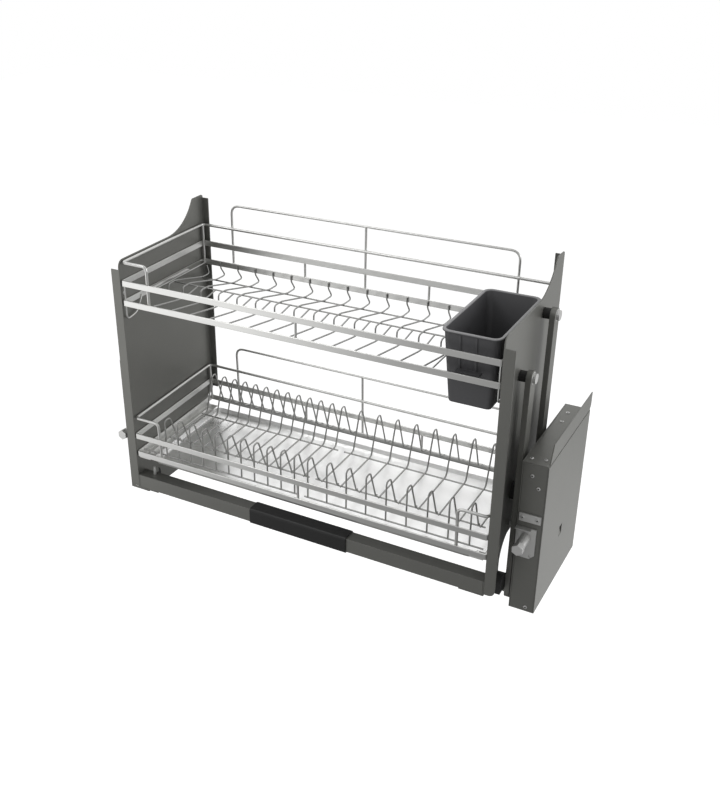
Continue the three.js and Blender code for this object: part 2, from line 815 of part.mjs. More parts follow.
function trayRail(side) {
  const ringBottomZ = lowerLowRingTopZ - ringBarHeight;
  const top = ringBottomZ - trayRailDrop;
  const wallX = plateInnerX - seatGap;
  const footX = wallX - trayRailWidth;
  const legX = wallX - trayRailSheet;
  const angle = join([
    box(side * footX, side * wallX, trayRailFrontY, trayRailBackY, top - trayRailSheet, top),
    box(side * legX, side * wallX, trayRailFrontY, trayRailBackY, top - trayRailSheet, ringBottomZ - seatGap),
  ]);
  const slotX = footX + trayRailSlotWidth;
  const middle = (trayRailFrontY + trayRailBackY) / 2;
  const slots = [-1, 1].map((end) => {
    const y = middle + end * trayRailSlotLength;
    const outline = slotOutline(side * slotX, y - trayRailSlotLength / 4, side * slotX,
      y + trayRailSlotLength / 4, trayRailSlotWidth);
    return extrudeAlongZ(outline, top - trayRailSheet - overrun, top + overrun);
  });
  return tilted(cut(angle, slots));
}

function dripTray() {
  const lipBottom = lowerLowRingTopZ - ringBarHeight - trayRailDrop + seatGap;
  const rim = lipBottom + traySheet;
  const floor = rim - trayDepth;
  const half = trayPanHalfWidth;
  const flare = traySheet * 2;
  const ringAt = (grow, z) => rectRing(-half - grow, half + grow, trayFrontY - grow, trayBackY + grow,
    trayCornerRadius + grow, z);
  const pan = skin([
    ringAt(-flare, floor),
    ringAt(0, rim),
    ringAt(-traySheet, rim),
    ringAt(-flare - traySheet, floor + traySheet),
  ]);
  const inset = trayCornerRadius;
  const lips = [-1, 1].map((side) => {
    const inner = side * (half - traySheet / 2);
    return box(inner, side * (half + trayLipWidth), trayFrontY + inset, trayBackY - inset, lipBottom, rim);
  });
  return tilted(join([pan, ...lips]));
}

// Cutlery bin: a tapered box with a rolled rim, ribs on its front and a ledge at the front and the back

function cutleryBin() {
  const rimBottom = binRimZ - binRimHeight;
  const ringAt = (inset, z) => rectRing(binLeftX + inset, binRightX - inset, binFrontY + inset,
    binBackY - inset, Math.max(binCornerRadius - inset / 2, binWall), z);
  const body = skin([
    ringAt(binTaper, binBottomZ),
    ringAt(binRimWidth, rimBottom),
    ringAt(0, rimBottom + binRimHeight / 4),
    ringAt(0, binRimZ - binRimHeight / 4),
    ringAt(binRimWidth / 2, binRimZ),
    ringAt(binRimWidth + binWall, binRimZ - binRimHeight / 4),
    ringAt(binTaper + binWall, binBottomZ + binWall),
  ]);
  return join([body, ...binRibs(), ...binLedges()]);
}

function binInset(z) {
  const share = (binRimZ - z) / (binRimZ - binBottomZ);
  return binRimWidth + share * (binTaper - binRimWidth);
}

function binRibs() {
  const ribShares = [0.33, 0.6];
  const topZ = binRimZ - binRimHeight;
  return ribShares.map((share) => {
    const x = binLeftX + share * (binRightX - binLeftX);
    const outline = new THREE.Shape();
    outline.moveTo(binFrontY + binInset(topZ) + binWall / 2, topZ);
    outline.lineTo(binFrontY + binInset(topZ) - binRibDepth, topZ);
    outline.lineTo(binFrontY + binInset(binRibEndZ) - binRibDepth, binRibEndZ);
    outline.lineTo(binFrontY + binInset(binRibEndZ) + binWall / 2, binRibEndZ);
    outline.closePath();
    return extrudeAlongX(outline, x - binRibWidth / 2, x + binRibWidth / 2);
  });
}

function binLedges() {
  const middleX = (binLeftX + binRightX) / 2;
  const span = [middleX - binLedgeWidth / 2, middleX + binLedgeWidth / 2];
  const z = upperLowRingTopZ - ringBarHeight / 2 + clipRadius + seatGap;
  const inset = binInset(z) + binWall / 2;
  const ledge = (y0, y1) => box(...span, y0, y1, z, z + binLedgeThickness);
  return [
    ledge(binRestFrontY - clipRadius, binFrontY + inset),
    ledge(binBackY - inset, binRestY + clipRadius),
  ];
}

// Arms: flat bars with a welded shaft at the lower end and a bolt, with a spacer, at the upper end

const pivots = {
  front: { upperY: frontUpperPivotY, upperZ: frontUpperPivotZ, lowerY: frontLowerPivotY, lowerZ: frontLowerPivotZ },
  rear: {
    upperY: frontUpperPivotY + rearPivotOffsetY,
    upperZ: frontUpperPivotZ + rearPivotOffsetZ,
    lowerY: frontLowerPivotY + rearPivotOffsetY,
    lowerZ: frontLowerPivotZ + rearPivotOffsetZ,
  },
};

function arm(side, pivot, isFront) {
  const outline = slotOutline(pivot.lowerY, pivot.lowerZ, pivot.upperY, pivot.upperZ, armWidth);
  const bar = extrudeAlongX(outline, side * armInnerX, side * armOuterX);
  const hole = cylinderAlongX(pivotBoltRadius + pivotRunningGap, side * (armInnerX - overrun),
    side * (armOuterX + overrun), pivot.upperY, pivot.upperZ);
  const bored = cut(bar, [hole]);
  if (!isFront) return bored;
  const pinStart = side * (plateOuterX + seatGap + seatGap);
  const pinEnd = side * (armInnerX + weldDepth);
  return join([bored, cylinderAlongX(restPinRadius, pinStart, pinEnd, pivot.lowerY, pivot.lowerZ)]);
}

function lowerShaft(side, pivot) {
  const start = side * (armOuterX + seatGap);
  const end = side * (housingOuterX - sheet - seatGap);
  return cylinderAlongX(lowerShaftRadius, start, end, pivot.lowerY, pivot.lowerZ);
}

function pivotSpacer(side, pivot) {
  const start = side * (plateOuterX + seatGap);
  const end = side * (armInnerX - seatGap);
  const body = cylinderAlongX(spacerRadius, start, end, pivot.upperY, pivot.upperZ);
  const bore = cylinderAlongX(pivotBoltRadius + seatGap, start - side * overrun, end + side * overrun,
    pivot.upperY, pivot.upperZ);
  return cut(body, [bore]);
}

function pivotBolt(side, pivot) {
  const start = side * (plateOuterX + seatGap);
  const headStart = side * (armOuterX + seatGap);
  const headEnd = headStart + side * boltHeadHeight;
  const at = [pivot.upperY, pivot.upperZ];
  return join([
    cylinderAlongX(pivotBoltRadius, start, headEnd, ...at),
    cylinderAlongX(boltHeadRadius, headStart, headEnd, ...at),
  ]);
}

// Rubber and nylon pieces between a side plate and its arms

function stopBlock(side) {
  const backY = frontLowerPivotY - restPinRadius - seatGap;
  const frontY = backY - stopBlockDepth;
  const bottomZ = stopBlockTopZ - stopBlockHeight;
  const outline = new THREE.Shape();
  outline.moveTo(frontY, bottomZ);
  outline.lineTo(backY, bottomZ);
  outline.lineTo(backY, stopBlockTopZ - stopBlockDepth / 2);
  outline.absarc(backY - stopBlockDepth / 2, stopBlockTopZ - stopBlockDepth / 2, stopBlockDepth / 2, 0, Math.PI);
  outline.closePath();
  return extrudeAlongX(outline, side * (plateOuterX + seatGap), side * (armInnerX - seatGap));
}

function bumper(side) {
  const outline = roundedRect(bumperY - bumperDepth / 2, bumperY + bumperDepth / 2,
    bumperZ - bumperHeight / 2, bumperZ + bumperHeight / 2, bumperDepth / 4);
  return extrudeAlongX(outline, side * (plateOuterX + seatGap), side * (armInnerX - seatGap));
}

function guideStud(side) {
  const ends = [side * (plateOuterX + seatGap), side * (armInnerX - seatGap)];
  return cylinderAlongX(guideStudRadius, ...ends, guideStudY, guideStudZ);
}

// Spring housings: an open box with a wall flange, closed by a cover that carries the shafts' bushes

function housingShell(side) {
  const innerX = side * (housingInnerX + sheet + seatGap);
  const outerX = side * housingOuterX;
  const body = box(innerX, outerX, housingFrontY, housingBackY, housingBottomZ, housingTopZ);
  const inside = box(innerX - side * overrun, outerX - side * sheet, housingFrontY + sheet, housingBackY - sheet,
    housingBottomZ + sheet, housingTopZ - sheet);
  const hole = cylinderAlongY(adjusterThreadRadius + seatGap, side * adjusterX, housingFrontY - overrun,
    housingFrontY + sheet + overrun, adjusterZ);
  return join([cut(body, [inside, hole]), wallFlange(side)]);
}

function wallFlange(side) {
  const frontY = housingFrontY + wallFlangeFrontInset;
  const backY = housingBackY + wallFlangeBackReach;
  const topZ = housingTopZ + wallFlangeHeight;
  const outline = new THREE.Shape();
  outline.moveTo(frontY, housingTopZ - sheet / 2);
  outline.lineTo(housingBackY - seatGap, housingTopZ - sheet / 2);
  outline.lineTo(housingBackY - seatGap, housingTopZ + seatGap);
  outline.lineTo(backY, housingTopZ + wallFlangeBevel / 2);
  outline.lineTo(backY, topZ);
  outline.lineTo(frontY + wallFlangeBevel, topZ);
  outline.closePath();
  return extrudeAlongX(outline, side * (housingOuterX - sheet), side * housingOuterX);
}

function housingCover(side) {
  const body = box(side * housingInnerX, side * (housingInnerX + sheet), housingFrontY, housingBackY,
    housingBottomZ, housingTopZ);
  const holes = Object.values(pivots).map((pivot) => cylinderAlongX(bushRadius + seatGap,
    side * (housingInnerX - overrun), side * (housingInnerX + sheet + overrun), pivot.lowerY, pivot.lowerZ));
  return cut(body, holes);
}

function bush(side, pivot) {
  const start = side * (housingInnerX - seatGap);
  const neck = side * (housingInnerX + sheet + seatGap);
  const end = neck + side * bushFlangeHeight;
  const at = [pivot.lowerY, pivot.lowerZ];
  const body = join([cylinderAlongX(bushRadius, start, end, ...at), cylinderAlongX(bushFlangeRadius, neck, end, ...at)]);
  const bore = cylinderAlongX(lowerShaftRadius + pivotRunningGap, start - side * overrun, end + side * overrun, ...at);
  return cut(body, [bore]);
}

function stopPlate(side) {
  const x0 = housingInnerX + sheet + seatGap + stopPlateInset;
  const x1 = housingOuterX - stopPlateInset - sheet;
  const backY = housingFrontY - seatGap;
  return box(side * x0, side * x1, backY - frontPlateThickness, backY,
    stopPlateZ - stopPlateHeight / 2, stopPlateZ + stopPlateHeight / 2);
}

function adjusterPlate(side) {
  const half = adjusterPlateWidth / 2;
  const backY = housingFrontY - seatGap;
  const frontY = backY - frontPlateThickness;
  const outline = new THREE.Shape();
  outline.moveTo(-half, adjusterPlateTopZ);
  outline.lineTo(-half, adjusterPlateBottomZ + adjusterPlateChamfer);
  outline.lineTo(-half + adjusterPlateChamfer, adjusterPlateBottomZ);
  outline.lineTo(half - adjusterPlateChamfer, adjusterPlateBottomZ);
  outline.lineTo(half, adjusterPlateBottomZ + adjusterPlateChamfer);
  outline.lineTo(half, adjusterPlateTopZ);
  outline.closePath();
  const face = extrudeAlongY(outline, frontY, backY);
  const lip = box(-half, half - adjusterPlateChamfer, frontY - adjusterLipReach, backY,
    adjusterPlateTopZ - frontPlateThickness / 2, adjusterPlateTopZ);
  const hole = cylinderAlongY(adjusterThreadRadius + seatGap, 0, frontY - overrun, backY + overrun, adjusterZ);
  return cut(join([face, lip]), [hole]).translate(side * adjusterX, 0, 0);
}

function adjusterScrew(side) {
  const baseY = housingFrontY - frontPlateThickness - 2 * seatGap;
  const neckY = baseY - adjusterBarrelLength;
  const tipY = neckY - adjusterTipLength;
  const hexSides = 6;
  return join([
    cylinderAlongY(adjusterBarrelRadius, side * adjusterX, neckY, baseY, adjusterZ),
    cylinderAlongY(adjusterTipRadius, side * adjusterX, tipY, neckY + weldDepth, adjusterZ, hexSides),
    cylinderAlongY(adjusterThreadRadius, side * adjusterX, neckY, baseY + adjusterThreadLength, adjusterZ),
  ]);
}

// The lever holds the fixed end of the spring, and the adjusting screw pulls at its upper end
function springLever(side) {
  const x0 = side * (adjusterX - springLeverThickness / 2);
  const x1 = side * (adjusterX + springLeverThickness / 2);
  const topY = frontLowerPivotY + springLeverLean;
  const outline = slotOutline(frontLowerPivotY, frontLowerPivotZ, topY, adjusterZ, springLeverWidth);
  const bore = cylinderAlongX(lowerShaftRadius + pivotRunningGap, x0 - side * overrun, x1 + side * overrun,
    frontLowerPivotY, frontLowerPivotZ);
  const screwHole = cylinderAlongY(adjusterThreadRadius + seatGap, side * adjusterX, housingFrontY,
    topY + springLeverWidth, adjusterZ);
  return cut(extrudeAlongX(outline, x0, x1), [bore, screwHole]);
}

function torsionSpring(side) {
  const count = springTurns * springStepsPerTurn;
  const startX = adjusterX + springLeverThickness / 2 + springWireRadius + seatGap;
  const points = [];
  for (let step = 0; step <= count; step += 1) {
    const angle = (2 * Math.PI * step) / springStepsPerTurn;
    const x = side * (startX + (springPitch * step) / springStepsPerTurn);
    const y = frontLowerPivotY + springMeanRadius * Math.cos(angle);
    const z = frontLowerPivotZ + springMeanRadius * Math.sin(angle);
    points.push(axis(x, y, z));
  }
  points.unshift(points[0].clone().add(axis(0, 0, -springTail / 8)));
  points.push(points[points.length - 1].clone().add(axis(0, 0, springTail)));
  return tube(points, springWireRadius, rackSides);
}

function rotaryDamper(side) {
  const { lowerY, lowerZ } = pivots.rear;
  const start = housingInnerX + sheet + 2 * seatGap + bushFlangeHeight;
  const end = start + damperLength;
  const ears = slotOutline(lowerY - damperEarReach, lowerZ, lowerY + damperEarReach, lowerZ, damperEarWidth);
  const body = join([
    cylinderAlongX(damperRadius, side * start, side * end, lowerY, lowerZ),
    extrudeAlongX(ears, side * start, side * (start + damperEarThickness)),
  ]);
  const bore = cylinderAlongX(lowerShaftRadius + pivotRunningGap, side * (start - overrun), side * (end + overrun),
    lowerY, lowerZ);
  return cut(body, [bore]);
}

// Assembly

add(carriage, 'handle_bar', handleBar(), paint);
add(carriage, 'handle_grip', handleGrip(), blackPlastic);
add(carriage, 'upper_basket_frame', upperBasketFrame(), steel);
add(carriage, 'bowl_rack', bowlRack(), wireSteel);
add(carriage, 'lower_basket_frame', lowerBasketFrame(), steel);
add(carriage, 'plate_rack_narrow', narrowRack(), wireSteel);
add(carriage, 'plate_rack_wide', wideRack(), wireSteel);
add(carriage, 'drip_tray', dripTray(), traySteel);
add(carriage, 'cutlery_bin', cutleryBin(), darkPlastic);

for (const [name, side] of [['left', -1], ['right', 1]]) {
  add(carriage, `${name}_side_plate`, sidePlate(side), paint);
  add(carriage, `${name}_handle_saddle`, handleSaddle(side), paint);
  add(carriage, `${name}_upper_tray_rail`, sideStrip(side), steel);
  add(carriage, `${name}_lower_tray_rail`, trayRail(side), steel);
  add(carriage, `${name}_stop_block`, stopBlock(side), blackPlastic);
  add(carriage, `${name}_bumper`, bumper(side), blackPlastic);
  add(carriage, `${name}_guide_stud`, guideStud(side), zinc);
  add(mechanisms, `${name}_housing_shell`, housingShell(side), paint);
  add(mechanisms, `${name}_housing_cover`, housingCover(side), paint);
  add(mechanisms, `${name}_stop_plate`, stopPlate(side), zinc);
  add(mechanisms, `${name}_adjuster_plate`, adjusterPlate(side), zinc);
  add(mechanisms, `${name}_adjuster_screw`, adjusterScrew(side), zinc);
  add(mechanisms, `${name}_spring_lever`, springLever(side), zinc);
  add(mechanisms, `${name}_torsion_spring`, torsionSpring(side), springSteel);
  add(mechanisms, `${name}_rotary_damper`, rotaryDamper(side), blackPlastic);
  for (const [place, pivot] of Object.entries(pivots)) {
    add(mechanisms, `${name}_${place}_arm`, arm(side, pivot, place === 'front'), paint);
    add(mechanisms, `${name}_${place}_shaft`, lowerShaft(side, pivot), zinc);
    add(mechanisms, `${name}_${place}_bush`, bush(side, pivot), blackPlastic);
    add(carriage, `${name}_${place}_spacer`, pivotSpacer(side, pivot), blackPlastic);
    add(carriage, `${name}_${place}_pivot_bolt`, pivotBolt(side, pivot), zinc);
  }
}

const rack = new THREE.Group();
const backEndY = housingBackY + wallFlangeBackReach;
rack.position.set(0, -(gripFrontY + backEndY) / 2, -housingBottomZ);
rack.add(carriage, mechanisms);

export default rack;
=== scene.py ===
# Looks of the pull-down dish rack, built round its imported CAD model.
# Sizes are in millimetres and are turned into metres where meshes are made. X runs to the right, Y to the
# back of the cabinet and Z up. Depths are measured from the carriage's front edge and heights from its foot.
import json
import math

import bmesh
import bpy
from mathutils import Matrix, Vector

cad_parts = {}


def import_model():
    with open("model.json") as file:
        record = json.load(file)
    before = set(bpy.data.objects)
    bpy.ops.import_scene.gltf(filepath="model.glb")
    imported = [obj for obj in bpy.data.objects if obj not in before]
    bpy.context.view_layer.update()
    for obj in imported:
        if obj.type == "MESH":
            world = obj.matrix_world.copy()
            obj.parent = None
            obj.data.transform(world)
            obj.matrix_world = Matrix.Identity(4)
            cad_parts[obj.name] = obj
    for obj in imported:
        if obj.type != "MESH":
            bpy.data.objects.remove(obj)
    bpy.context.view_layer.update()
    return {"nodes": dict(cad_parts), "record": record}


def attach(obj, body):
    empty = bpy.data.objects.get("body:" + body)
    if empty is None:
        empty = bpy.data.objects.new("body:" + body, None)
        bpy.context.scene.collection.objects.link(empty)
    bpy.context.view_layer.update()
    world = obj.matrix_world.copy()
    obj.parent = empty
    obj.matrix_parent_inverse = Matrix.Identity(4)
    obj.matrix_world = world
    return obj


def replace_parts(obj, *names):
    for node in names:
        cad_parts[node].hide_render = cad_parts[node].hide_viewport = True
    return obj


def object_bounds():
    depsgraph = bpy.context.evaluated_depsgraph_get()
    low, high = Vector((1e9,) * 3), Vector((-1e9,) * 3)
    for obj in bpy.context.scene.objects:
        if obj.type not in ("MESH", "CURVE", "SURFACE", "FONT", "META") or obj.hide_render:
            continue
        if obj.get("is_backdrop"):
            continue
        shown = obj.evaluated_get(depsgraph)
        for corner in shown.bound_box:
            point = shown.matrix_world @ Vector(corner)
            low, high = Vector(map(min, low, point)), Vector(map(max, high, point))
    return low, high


MM = 0.001
FRAME_SHIFT = Vector((0, -143.05, 54))
SMALL = 1e-4

# Camera, as solved from the photograph's straight edges
CAMERA_PLACE = Vector((794.5, -1351.7, 1077.8))
CAMERA_TURN = (62.835, 0.769, 29.892)
CAMERA_LENS = 47.0
CAMERA_SENSOR = 36
CAMERA_SHIFT = (0.0782, 0.0009)

# Studio, in metres and watts. A strength of 1 is white
LAMPS = {"key": ((-1.2, -1.4, 2.2), (1, 1), 10), "side": ((2.4, 0.4, 0.9), (1.6, 1.2), 22)}
LAMP_TARGET = (0, 0, 0.3)
WORLD_LIGHT = 0.55
FLOOR_COLOR = (0.9, 0.9, 0.9)
FLOOR_ROUGHNESS = 0.9
FLOOR_GLOW = 0.52
FLOOR_Z = -0.47
FLOOR_HALF = 6
WHITE = (1, 1, 1, 1)

# What reflections show, as pairs of a place or direction and a strength
WORLD_ALONG = ((-0.3, 0.5), (0.4, 1))
WORLD_ACROSS = ((-0.36, 1.2), (-0.16, 0.97))
FLOOR_ACROSS = ((-1.45, 1.45), (-0.55, 0.45), (0.15, 0.36))
FLOOR_SHADE = ((-0.75, 1), (-0.45, 0.5))
FLOOR_BEHIND = ((0.9, 0.75), (1.6, 0.5))
FLOOR_BESIDE = ((0.3, 0), (0.5, 1))
FLOOR_BESIDE_START = ((-0.2, 0), (0.1, 1))

# Materials. Their colours and roughness lie between two limits. Patterns of noise, each given as a scale, a
# stretch and a detail, move them: the clouds the colour, the grain the roughness and the relief, and the
# clouds all three where no grain is given. The relief is a strength and a height, and the edge is the radius
# that softens edges, both in metres
EVEN = (1, 1, 1)
PLASTIC_CLOUDS = (15, EVEN, 2)
LOOKS = {
    "graphite_paint": {
        "metallic": 0.6, "colors": ((0.175, 0.176, 0.164), (0.197, 0.197, 0.183)), "roughness": (0.34, 0.46),
        "clouds": (14, EVEN, 4), "grain": (2500, EVEN, 2), "relief": (0.1, 0.0002), "edge": 0.0016,
    },
    "satin_steel": {
        "metallic": 1, "colors": ((0.61, 0.61, 0.595), (0.69, 0.69, 0.675)), "roughness": (0.28, 0.36),
        "clouds": (25, (0.3, 0.3, 5), 4), "relief": (0.03, 0.0002),
    },
    "bright_wire": {
        "metallic": 1, "colors": ((0.38, 0.38, 0.37), (0.46, 0.46, 0.45)), "roughness": (0.38, 0.48),
        "clouds": (60, EVEN, 3), "relief": (0.03, 0.0002),
    },
    "polished_steel": {
        "metallic": 1, "colors": ((0.94, 0.94, 0.935), (0.98, 0.98, 0.975)), "roughness": (0.27, 0.33),
        "clouds": (9, (0.3, 1, 1), 2),
    },
    "zinc_steel": {
        "metallic": 0.75, "colors": ((0.58, 0.58, 0.57), (0.62, 0.62, 0.61)), "roughness": (0.31, 0.37),
        "clouds": (30, EVEN, 2), "relief": (0.015, 0.0003), "edge": 0.0006,
    },
    "spring_steel": {
        "metallic": 0.9, "colors": ((0.16, 0.16, 0.17), (0.16, 0.16, 0.17)), "roughness": (0.3, 0.5),
        "clouds": (200, EVEN, 3), "relief": (0.08, 0.0003),
    },
    "grey_plastic": {
        "metallic": 0, "colors": ((0.074, 0.074, 0.078), (0.088, 0.088, 0.093)), "roughness": (0.36, 0.5),
        "clouds": PLASTIC_CLOUDS, "grain": (1500, EVEN, 4), "relief": (0.1, 0.0003), "edge": 0.0008,
    },
    "black_plastic": {
        "metallic": 0, "colors": ((0.007, 0.007, 0.007), (0.011, 0.011, 0.011)), "roughness": (0.38, 0.52),
        "clouds": PLASTIC_CLOUDS, "grain": (1800, EVEN, 4), "relief": (0.1, 0.0003), "edge": 0.0008,
    },
    "black_rubber": {
        "metallic": 0, "colors": ((0.012, 0.012, 0.012), (0.018, 0.018, 0.018)), "roughness": (0.56, 0.7),
        "clouds": PLASTIC_CLOUDS, "grain": (900, EVEN, 4), "relief": (0.15, 0.0003), "edge": 0.0008,
    },
}
NOISE_LIMITS = (0.3, 0.7)
EDGE_SAMPLES = 4

# Places of the sockets that the nodes for mixing colours and shaders use
MIX_SHARE, MIX_FROM, MIX_TO, MIX_RESULT = 0, 6, 7, 2
SHADER_FROM, SHADER_TO = 1, 2

# Sizes repeated from the CAD source
SEAT_GAP = 0.3
WELD = 0.5
CROSSED_SHARE = 1.4
BEND = 9
LOOP_BEND = 18
PLATE_INNER_X = 355.5
RING_HALF_WIDTH = PLATE_INNER_X - SEAT_GAP
RING_FRONT_Y = 1
RING_BACK_Y = 258.5
RING_CORNER = 4.2
BAR_THICKNESS = 3
BAR_HEIGHT = 11
RING_INSIDE_X = RING_HALF_WIDTH - BAR_THICKNESS
GUARD_RADIUS = 2.8
GUARD_SIDE_X = RING_HALF_WIDTH - GUARD_RADIUS
GUARD_FRONT_Y = RING_FRONT_Y + BAR_THICKNESS + GUARD_RADIUS - WELD
POST_RADIUS = 2.3
BACK_POST_Y = RING_BACK_Y + POST_RADIUS - WELD
GUARD_LEG_X = 300
LOOP_HALF_WIDTH = 286
BACK_POST_X = 126
UPPER_LEVELS = {"top": 426, "low": 388.5, "guard": 458, "loop": 503.5}
UPPER_GUARD_END_Y = 244
LOWER_LEVELS = {"top": 121.3, "low": 82.3, "guard": 153, "loop": 203.5}
LOWER_TILT = 2
LOWER_TILT_Y = 130
CLIP_RADIUS = 1.5
CLIP_REACH = 30
CLIP_TAIL_REACH = 17
CLIP_DROP = 27
CLIP_RISE = 5
CLIP_BEND = 10
BIN_REST_X = 240
BIN_REST_Y = 216
BIN_REST_FRONT_Y = 11.2

RACK_RADIUS = 1.5
RACK_FRONT_Y = 11.2
BOWL_PITCH = 40
BOWL_STUB = 5
WAVE_COUNT = 14
WAVE_FIRST_X = -313
TROUGH_FIRST_X = -293
EDGE_WAVE_X = 346.2
HOOK_DROP = 2
HOOK_LENGTH = 10.5
WAVE_LOW_Y = 268
EDGE_WAVE_LOW_Y = 261
WAVE_LOW_Z = 356.5
WAVE_CREST_Y = 150
WAVE_CREST_Z = 379
WAVE_STEP_Y = 126
WAVE_STEP_FOOT_Z = 359
WAVE_REAR_Z = 357
WAVE_REAR_WIRE_Y = 238
WAVE_BEND = 7
TROUGH_START_Y = 6
TROUGH_LOW_Y = 100
TROUGH_LOW_Z = 369
TROUGH_END_Y = 147
TROUGH_BEND = 28
BOWL_FRONT_DROP = 6

NARROW_FLOOR = {"first": -306, "pitch": 24.5, "count": 13}
NARROW_ARCHES = {"first": -290, "pitch": 28, "count": 11}
WIDE_FLOOR = {"first": 25.5, "pitch": 37.5, "count": 9}
WIDE_ARCHES = {"first": 17, "pitch": 38, "count": 9}
RACK_STUB = 7
FRONT_WIRE_Z = 80.2
ARCH_TOP_Z = 155
ARCH_TOP_BACK_Y = 27
ARCH_FOOT_Y = 50
ARCH_TAIL = 5
FIN_FLOOR_Z = 96
FIN_FRONT_Y = 47
FIN_REAR_FOOT_Y = 170

BIN_SIDES = (248, 346)
BIN_ENDS = (14, 211)
BIN_BOTTOM_Z = 324
BIN_RIM_Z = 450
BIN_TAPER = 13
BIN_WALL = 2
BIN_CORNER = 14
BIN_RIM_WIDTH = 3
BIN_RIM_HEIGHT = 4
BIN_RIB_SHARES = (0.33, 0.6)
BIN_RIB_END_Z = 378
BIN_LEDGE_THICKNESS = 3
BIN_LEDGE_WIDTH = 40

HOUSING_INNER_X = 382
HOUSING_OUTER_X = 426
HOUSING_FRONT_Y = 59
HOUSING_BACK_Y = 284
HOUSING_BOTTOM_Z = -54
HOUSING_TOP_Z = 233
HOUSING_SHEET = 2
FLANGE_FRONT_Y = 65
FLANGE_BACK_Y = 289
FLANGE_TOP_Z = 264
FLANGE_BEVEL = 14
FRONT_PLATE_THICKNESS = 3
STOP_PLATE_Z = 132
ARM_OUTER_X = 379
BOLTS = ((84, 367), (181, 437))
BAR_TOP_Z = 25

# The plate rack's rear peaks, as the photograph shows them: they run back to the rail
FIN_PEAK = (200, 167)
FIN_PEAK_HALF = 5.5
FIN_BACK = (232, 95)
FIN_HOOK = (253, 88)
FIN_BEND = 7

# Details that only the looks have. Screws on the top and front of a housing are placed from its inner side
# and its front or top, and a round profile is pairs of a height and a radius
BAR_EASE = 0.5
BIN_RIM_STEP = 0.5
# The pale colour of the bin's rim, a painted highlight
BIN_RIM_HIGHLIGHT_COLOR = (0.31, 0.31, 0.315)
BIN_RIB_WIDTH = 4
BIN_RIB_DEPTH = 1.8
SEAM_HEIGHT = 1.8
SEAM_DEPTH = 1.2
LOUVRE_Y = (166, 181)
LOUVRE_Z = (38, 58)
LOUVRE_DEPTH = 5
LOUVRE_THICKNESS = 1.2
TOP_SCREWS = ((14, 193), (15, 157), (10, 15), (32, 19))
FRONT_SCREWS = ((18, -23), (30, -44), (29, -279))
STOP_SCREWS_X = (391.7, 416.6)
ADJUSTER_SCREWS = ((388.5, 61), (410, 60))
SCREW_RADIUS = 3.4
SMALL_SCREW_RADIUS = 2.2
SCREW_HEIGHT = 0.9
SCREW_TOP_SHARE = 0.8
RECESS_SHARE = 0.45
# The thickness of the dark disc that paints the shade in a screw head's recess
RECESS_HEIGHT = 0.36
WASHER_RADIUS = 10
BASKET_SCREW = (8, 400)
STUD_PLACE = (-329, 17.5)
STUD_PROFILE = ((0, 3.2), (2, 3), (17, 1.8))
LOWER_CLIP = (325, 349)

# Smoothness
WIRE_SIDES = 12
TURNED_SIDES = 20
WASHER_SIDES = 28
RECESS_SIDES = 6
BEND_STEPS = 7
CORNER_STEPS = 6
CREASE = 38


def metres(point):
    return (Vector(point) + FRAME_SHIFT) * MM


def tilted(point):
    """Places a point of the lower basket, which leans forwards."""
    angle = math.radians(LOWER_TILT)
    y = point[1] - LOWER_TILT_Y
    z = point[2] - LOWER_LEVELS["low"]
    return (point[0], LOWER_TILT_Y + y * math.cos(angle) - z * math.sin(angle),
            LOWER_LEVELS["low"] + y * math.sin(angle) + z * math.cos(angle))


# Meshes


class Solid:
    """Vertices and faces of one piece, gathered from several closed parts."""

    def __init__(self, leans=False):
        self.points = []
        self.faces = []
        self.leans = leans

    def add(self, points, faces):
        first = len(self.points)
        placed = [tilted(point) for point in points] if self.leans else points
        self.points += [metres(point) for point in placed]
        self.faces += [[first + index for index in face] for face in faces]

    def piece(self, name, body, slot, materials):
        mesh = bpy.data.meshes.new(name)
        mesh.from_pydata(self.points, [], self.faces)
        turn_outwards(mesh)
        mesh.materials.append(materials[slot])
        smooth(mesh)
        piece = bpy.data.objects.new(name, mesh)
        bpy.context.scene.collection.objects.link(piece)
        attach(piece, body)
        return piece


def turn_outwards(mesh):
    shape = bmesh.new()
    shape.from_mesh(mesh)
    bmesh.ops.recalc_face_normals(shape, faces=shape.faces)
    shape.to_mesh(mesh)
    shape.free()


def smooth(mesh):
    mesh.shade_smooth()
    mesh.set_sharp_from_angle(angle=math.radians(CREASE))


def rounded(corners, radius):
    """A path with round bends in place of its corners."""
    corners = [Vector(corner) for corner in corners]
    path = [corners[0]]
    for before, corner, after in zip(corners, corners[1:], corners[2:]):
        path += bend_points(before, corner, after, radius)
    path.append(corners[-1])
    return path[:1] + [point for last, point in zip(path, path[1:]) if (point - last).length > SMALL]


def bend_points(before, corner, after, radius):
    to_before = before - corner
    to_after = after - corner
    reach = min(radius, to_before.length / 2, to_after.length / 2)
    start = corner + to_before.normalized() * reach
    end = corner + to_after.normalized() * reach
    shares = [step / BEND_STEPS for step in range(BEND_STEPS + 1)]
    return [start.lerp(corner, share).lerp(corner.lerp(end, share), share) for share in shares]


def circle(centre, side, other, radius, sides):
    """Points round a centre, in the plane of two directions."""
    angles = [2 * math.pi * corner / sides for corner in range(sides)]
    return [centre + (side * math.cos(angle) + other * math.sin(angle)) * radius for angle in angles]


def sweep(solid, path, radius):
    """A round wire along a path, with its ends closed."""
    last = len(path) - 1
    directions = [(path[min(index + 1, last)] - path[max(index - 1, 0)]).normalized()
                  for index in range(len(path))]
    side = directions[0].orthogonal().normalized()
    rings = []
    for place, direction in zip(path, directions):
        side = (side - direction * side.dot(direction)).normalized()
        rings.append(circle(place, side, direction.cross(side), radius, WIRE_SIDES))
    skin(solid, rings)


def wire(solid, corners, radius, bend=BEND):
    sweep(solid, rounded(corners, bend), radius)


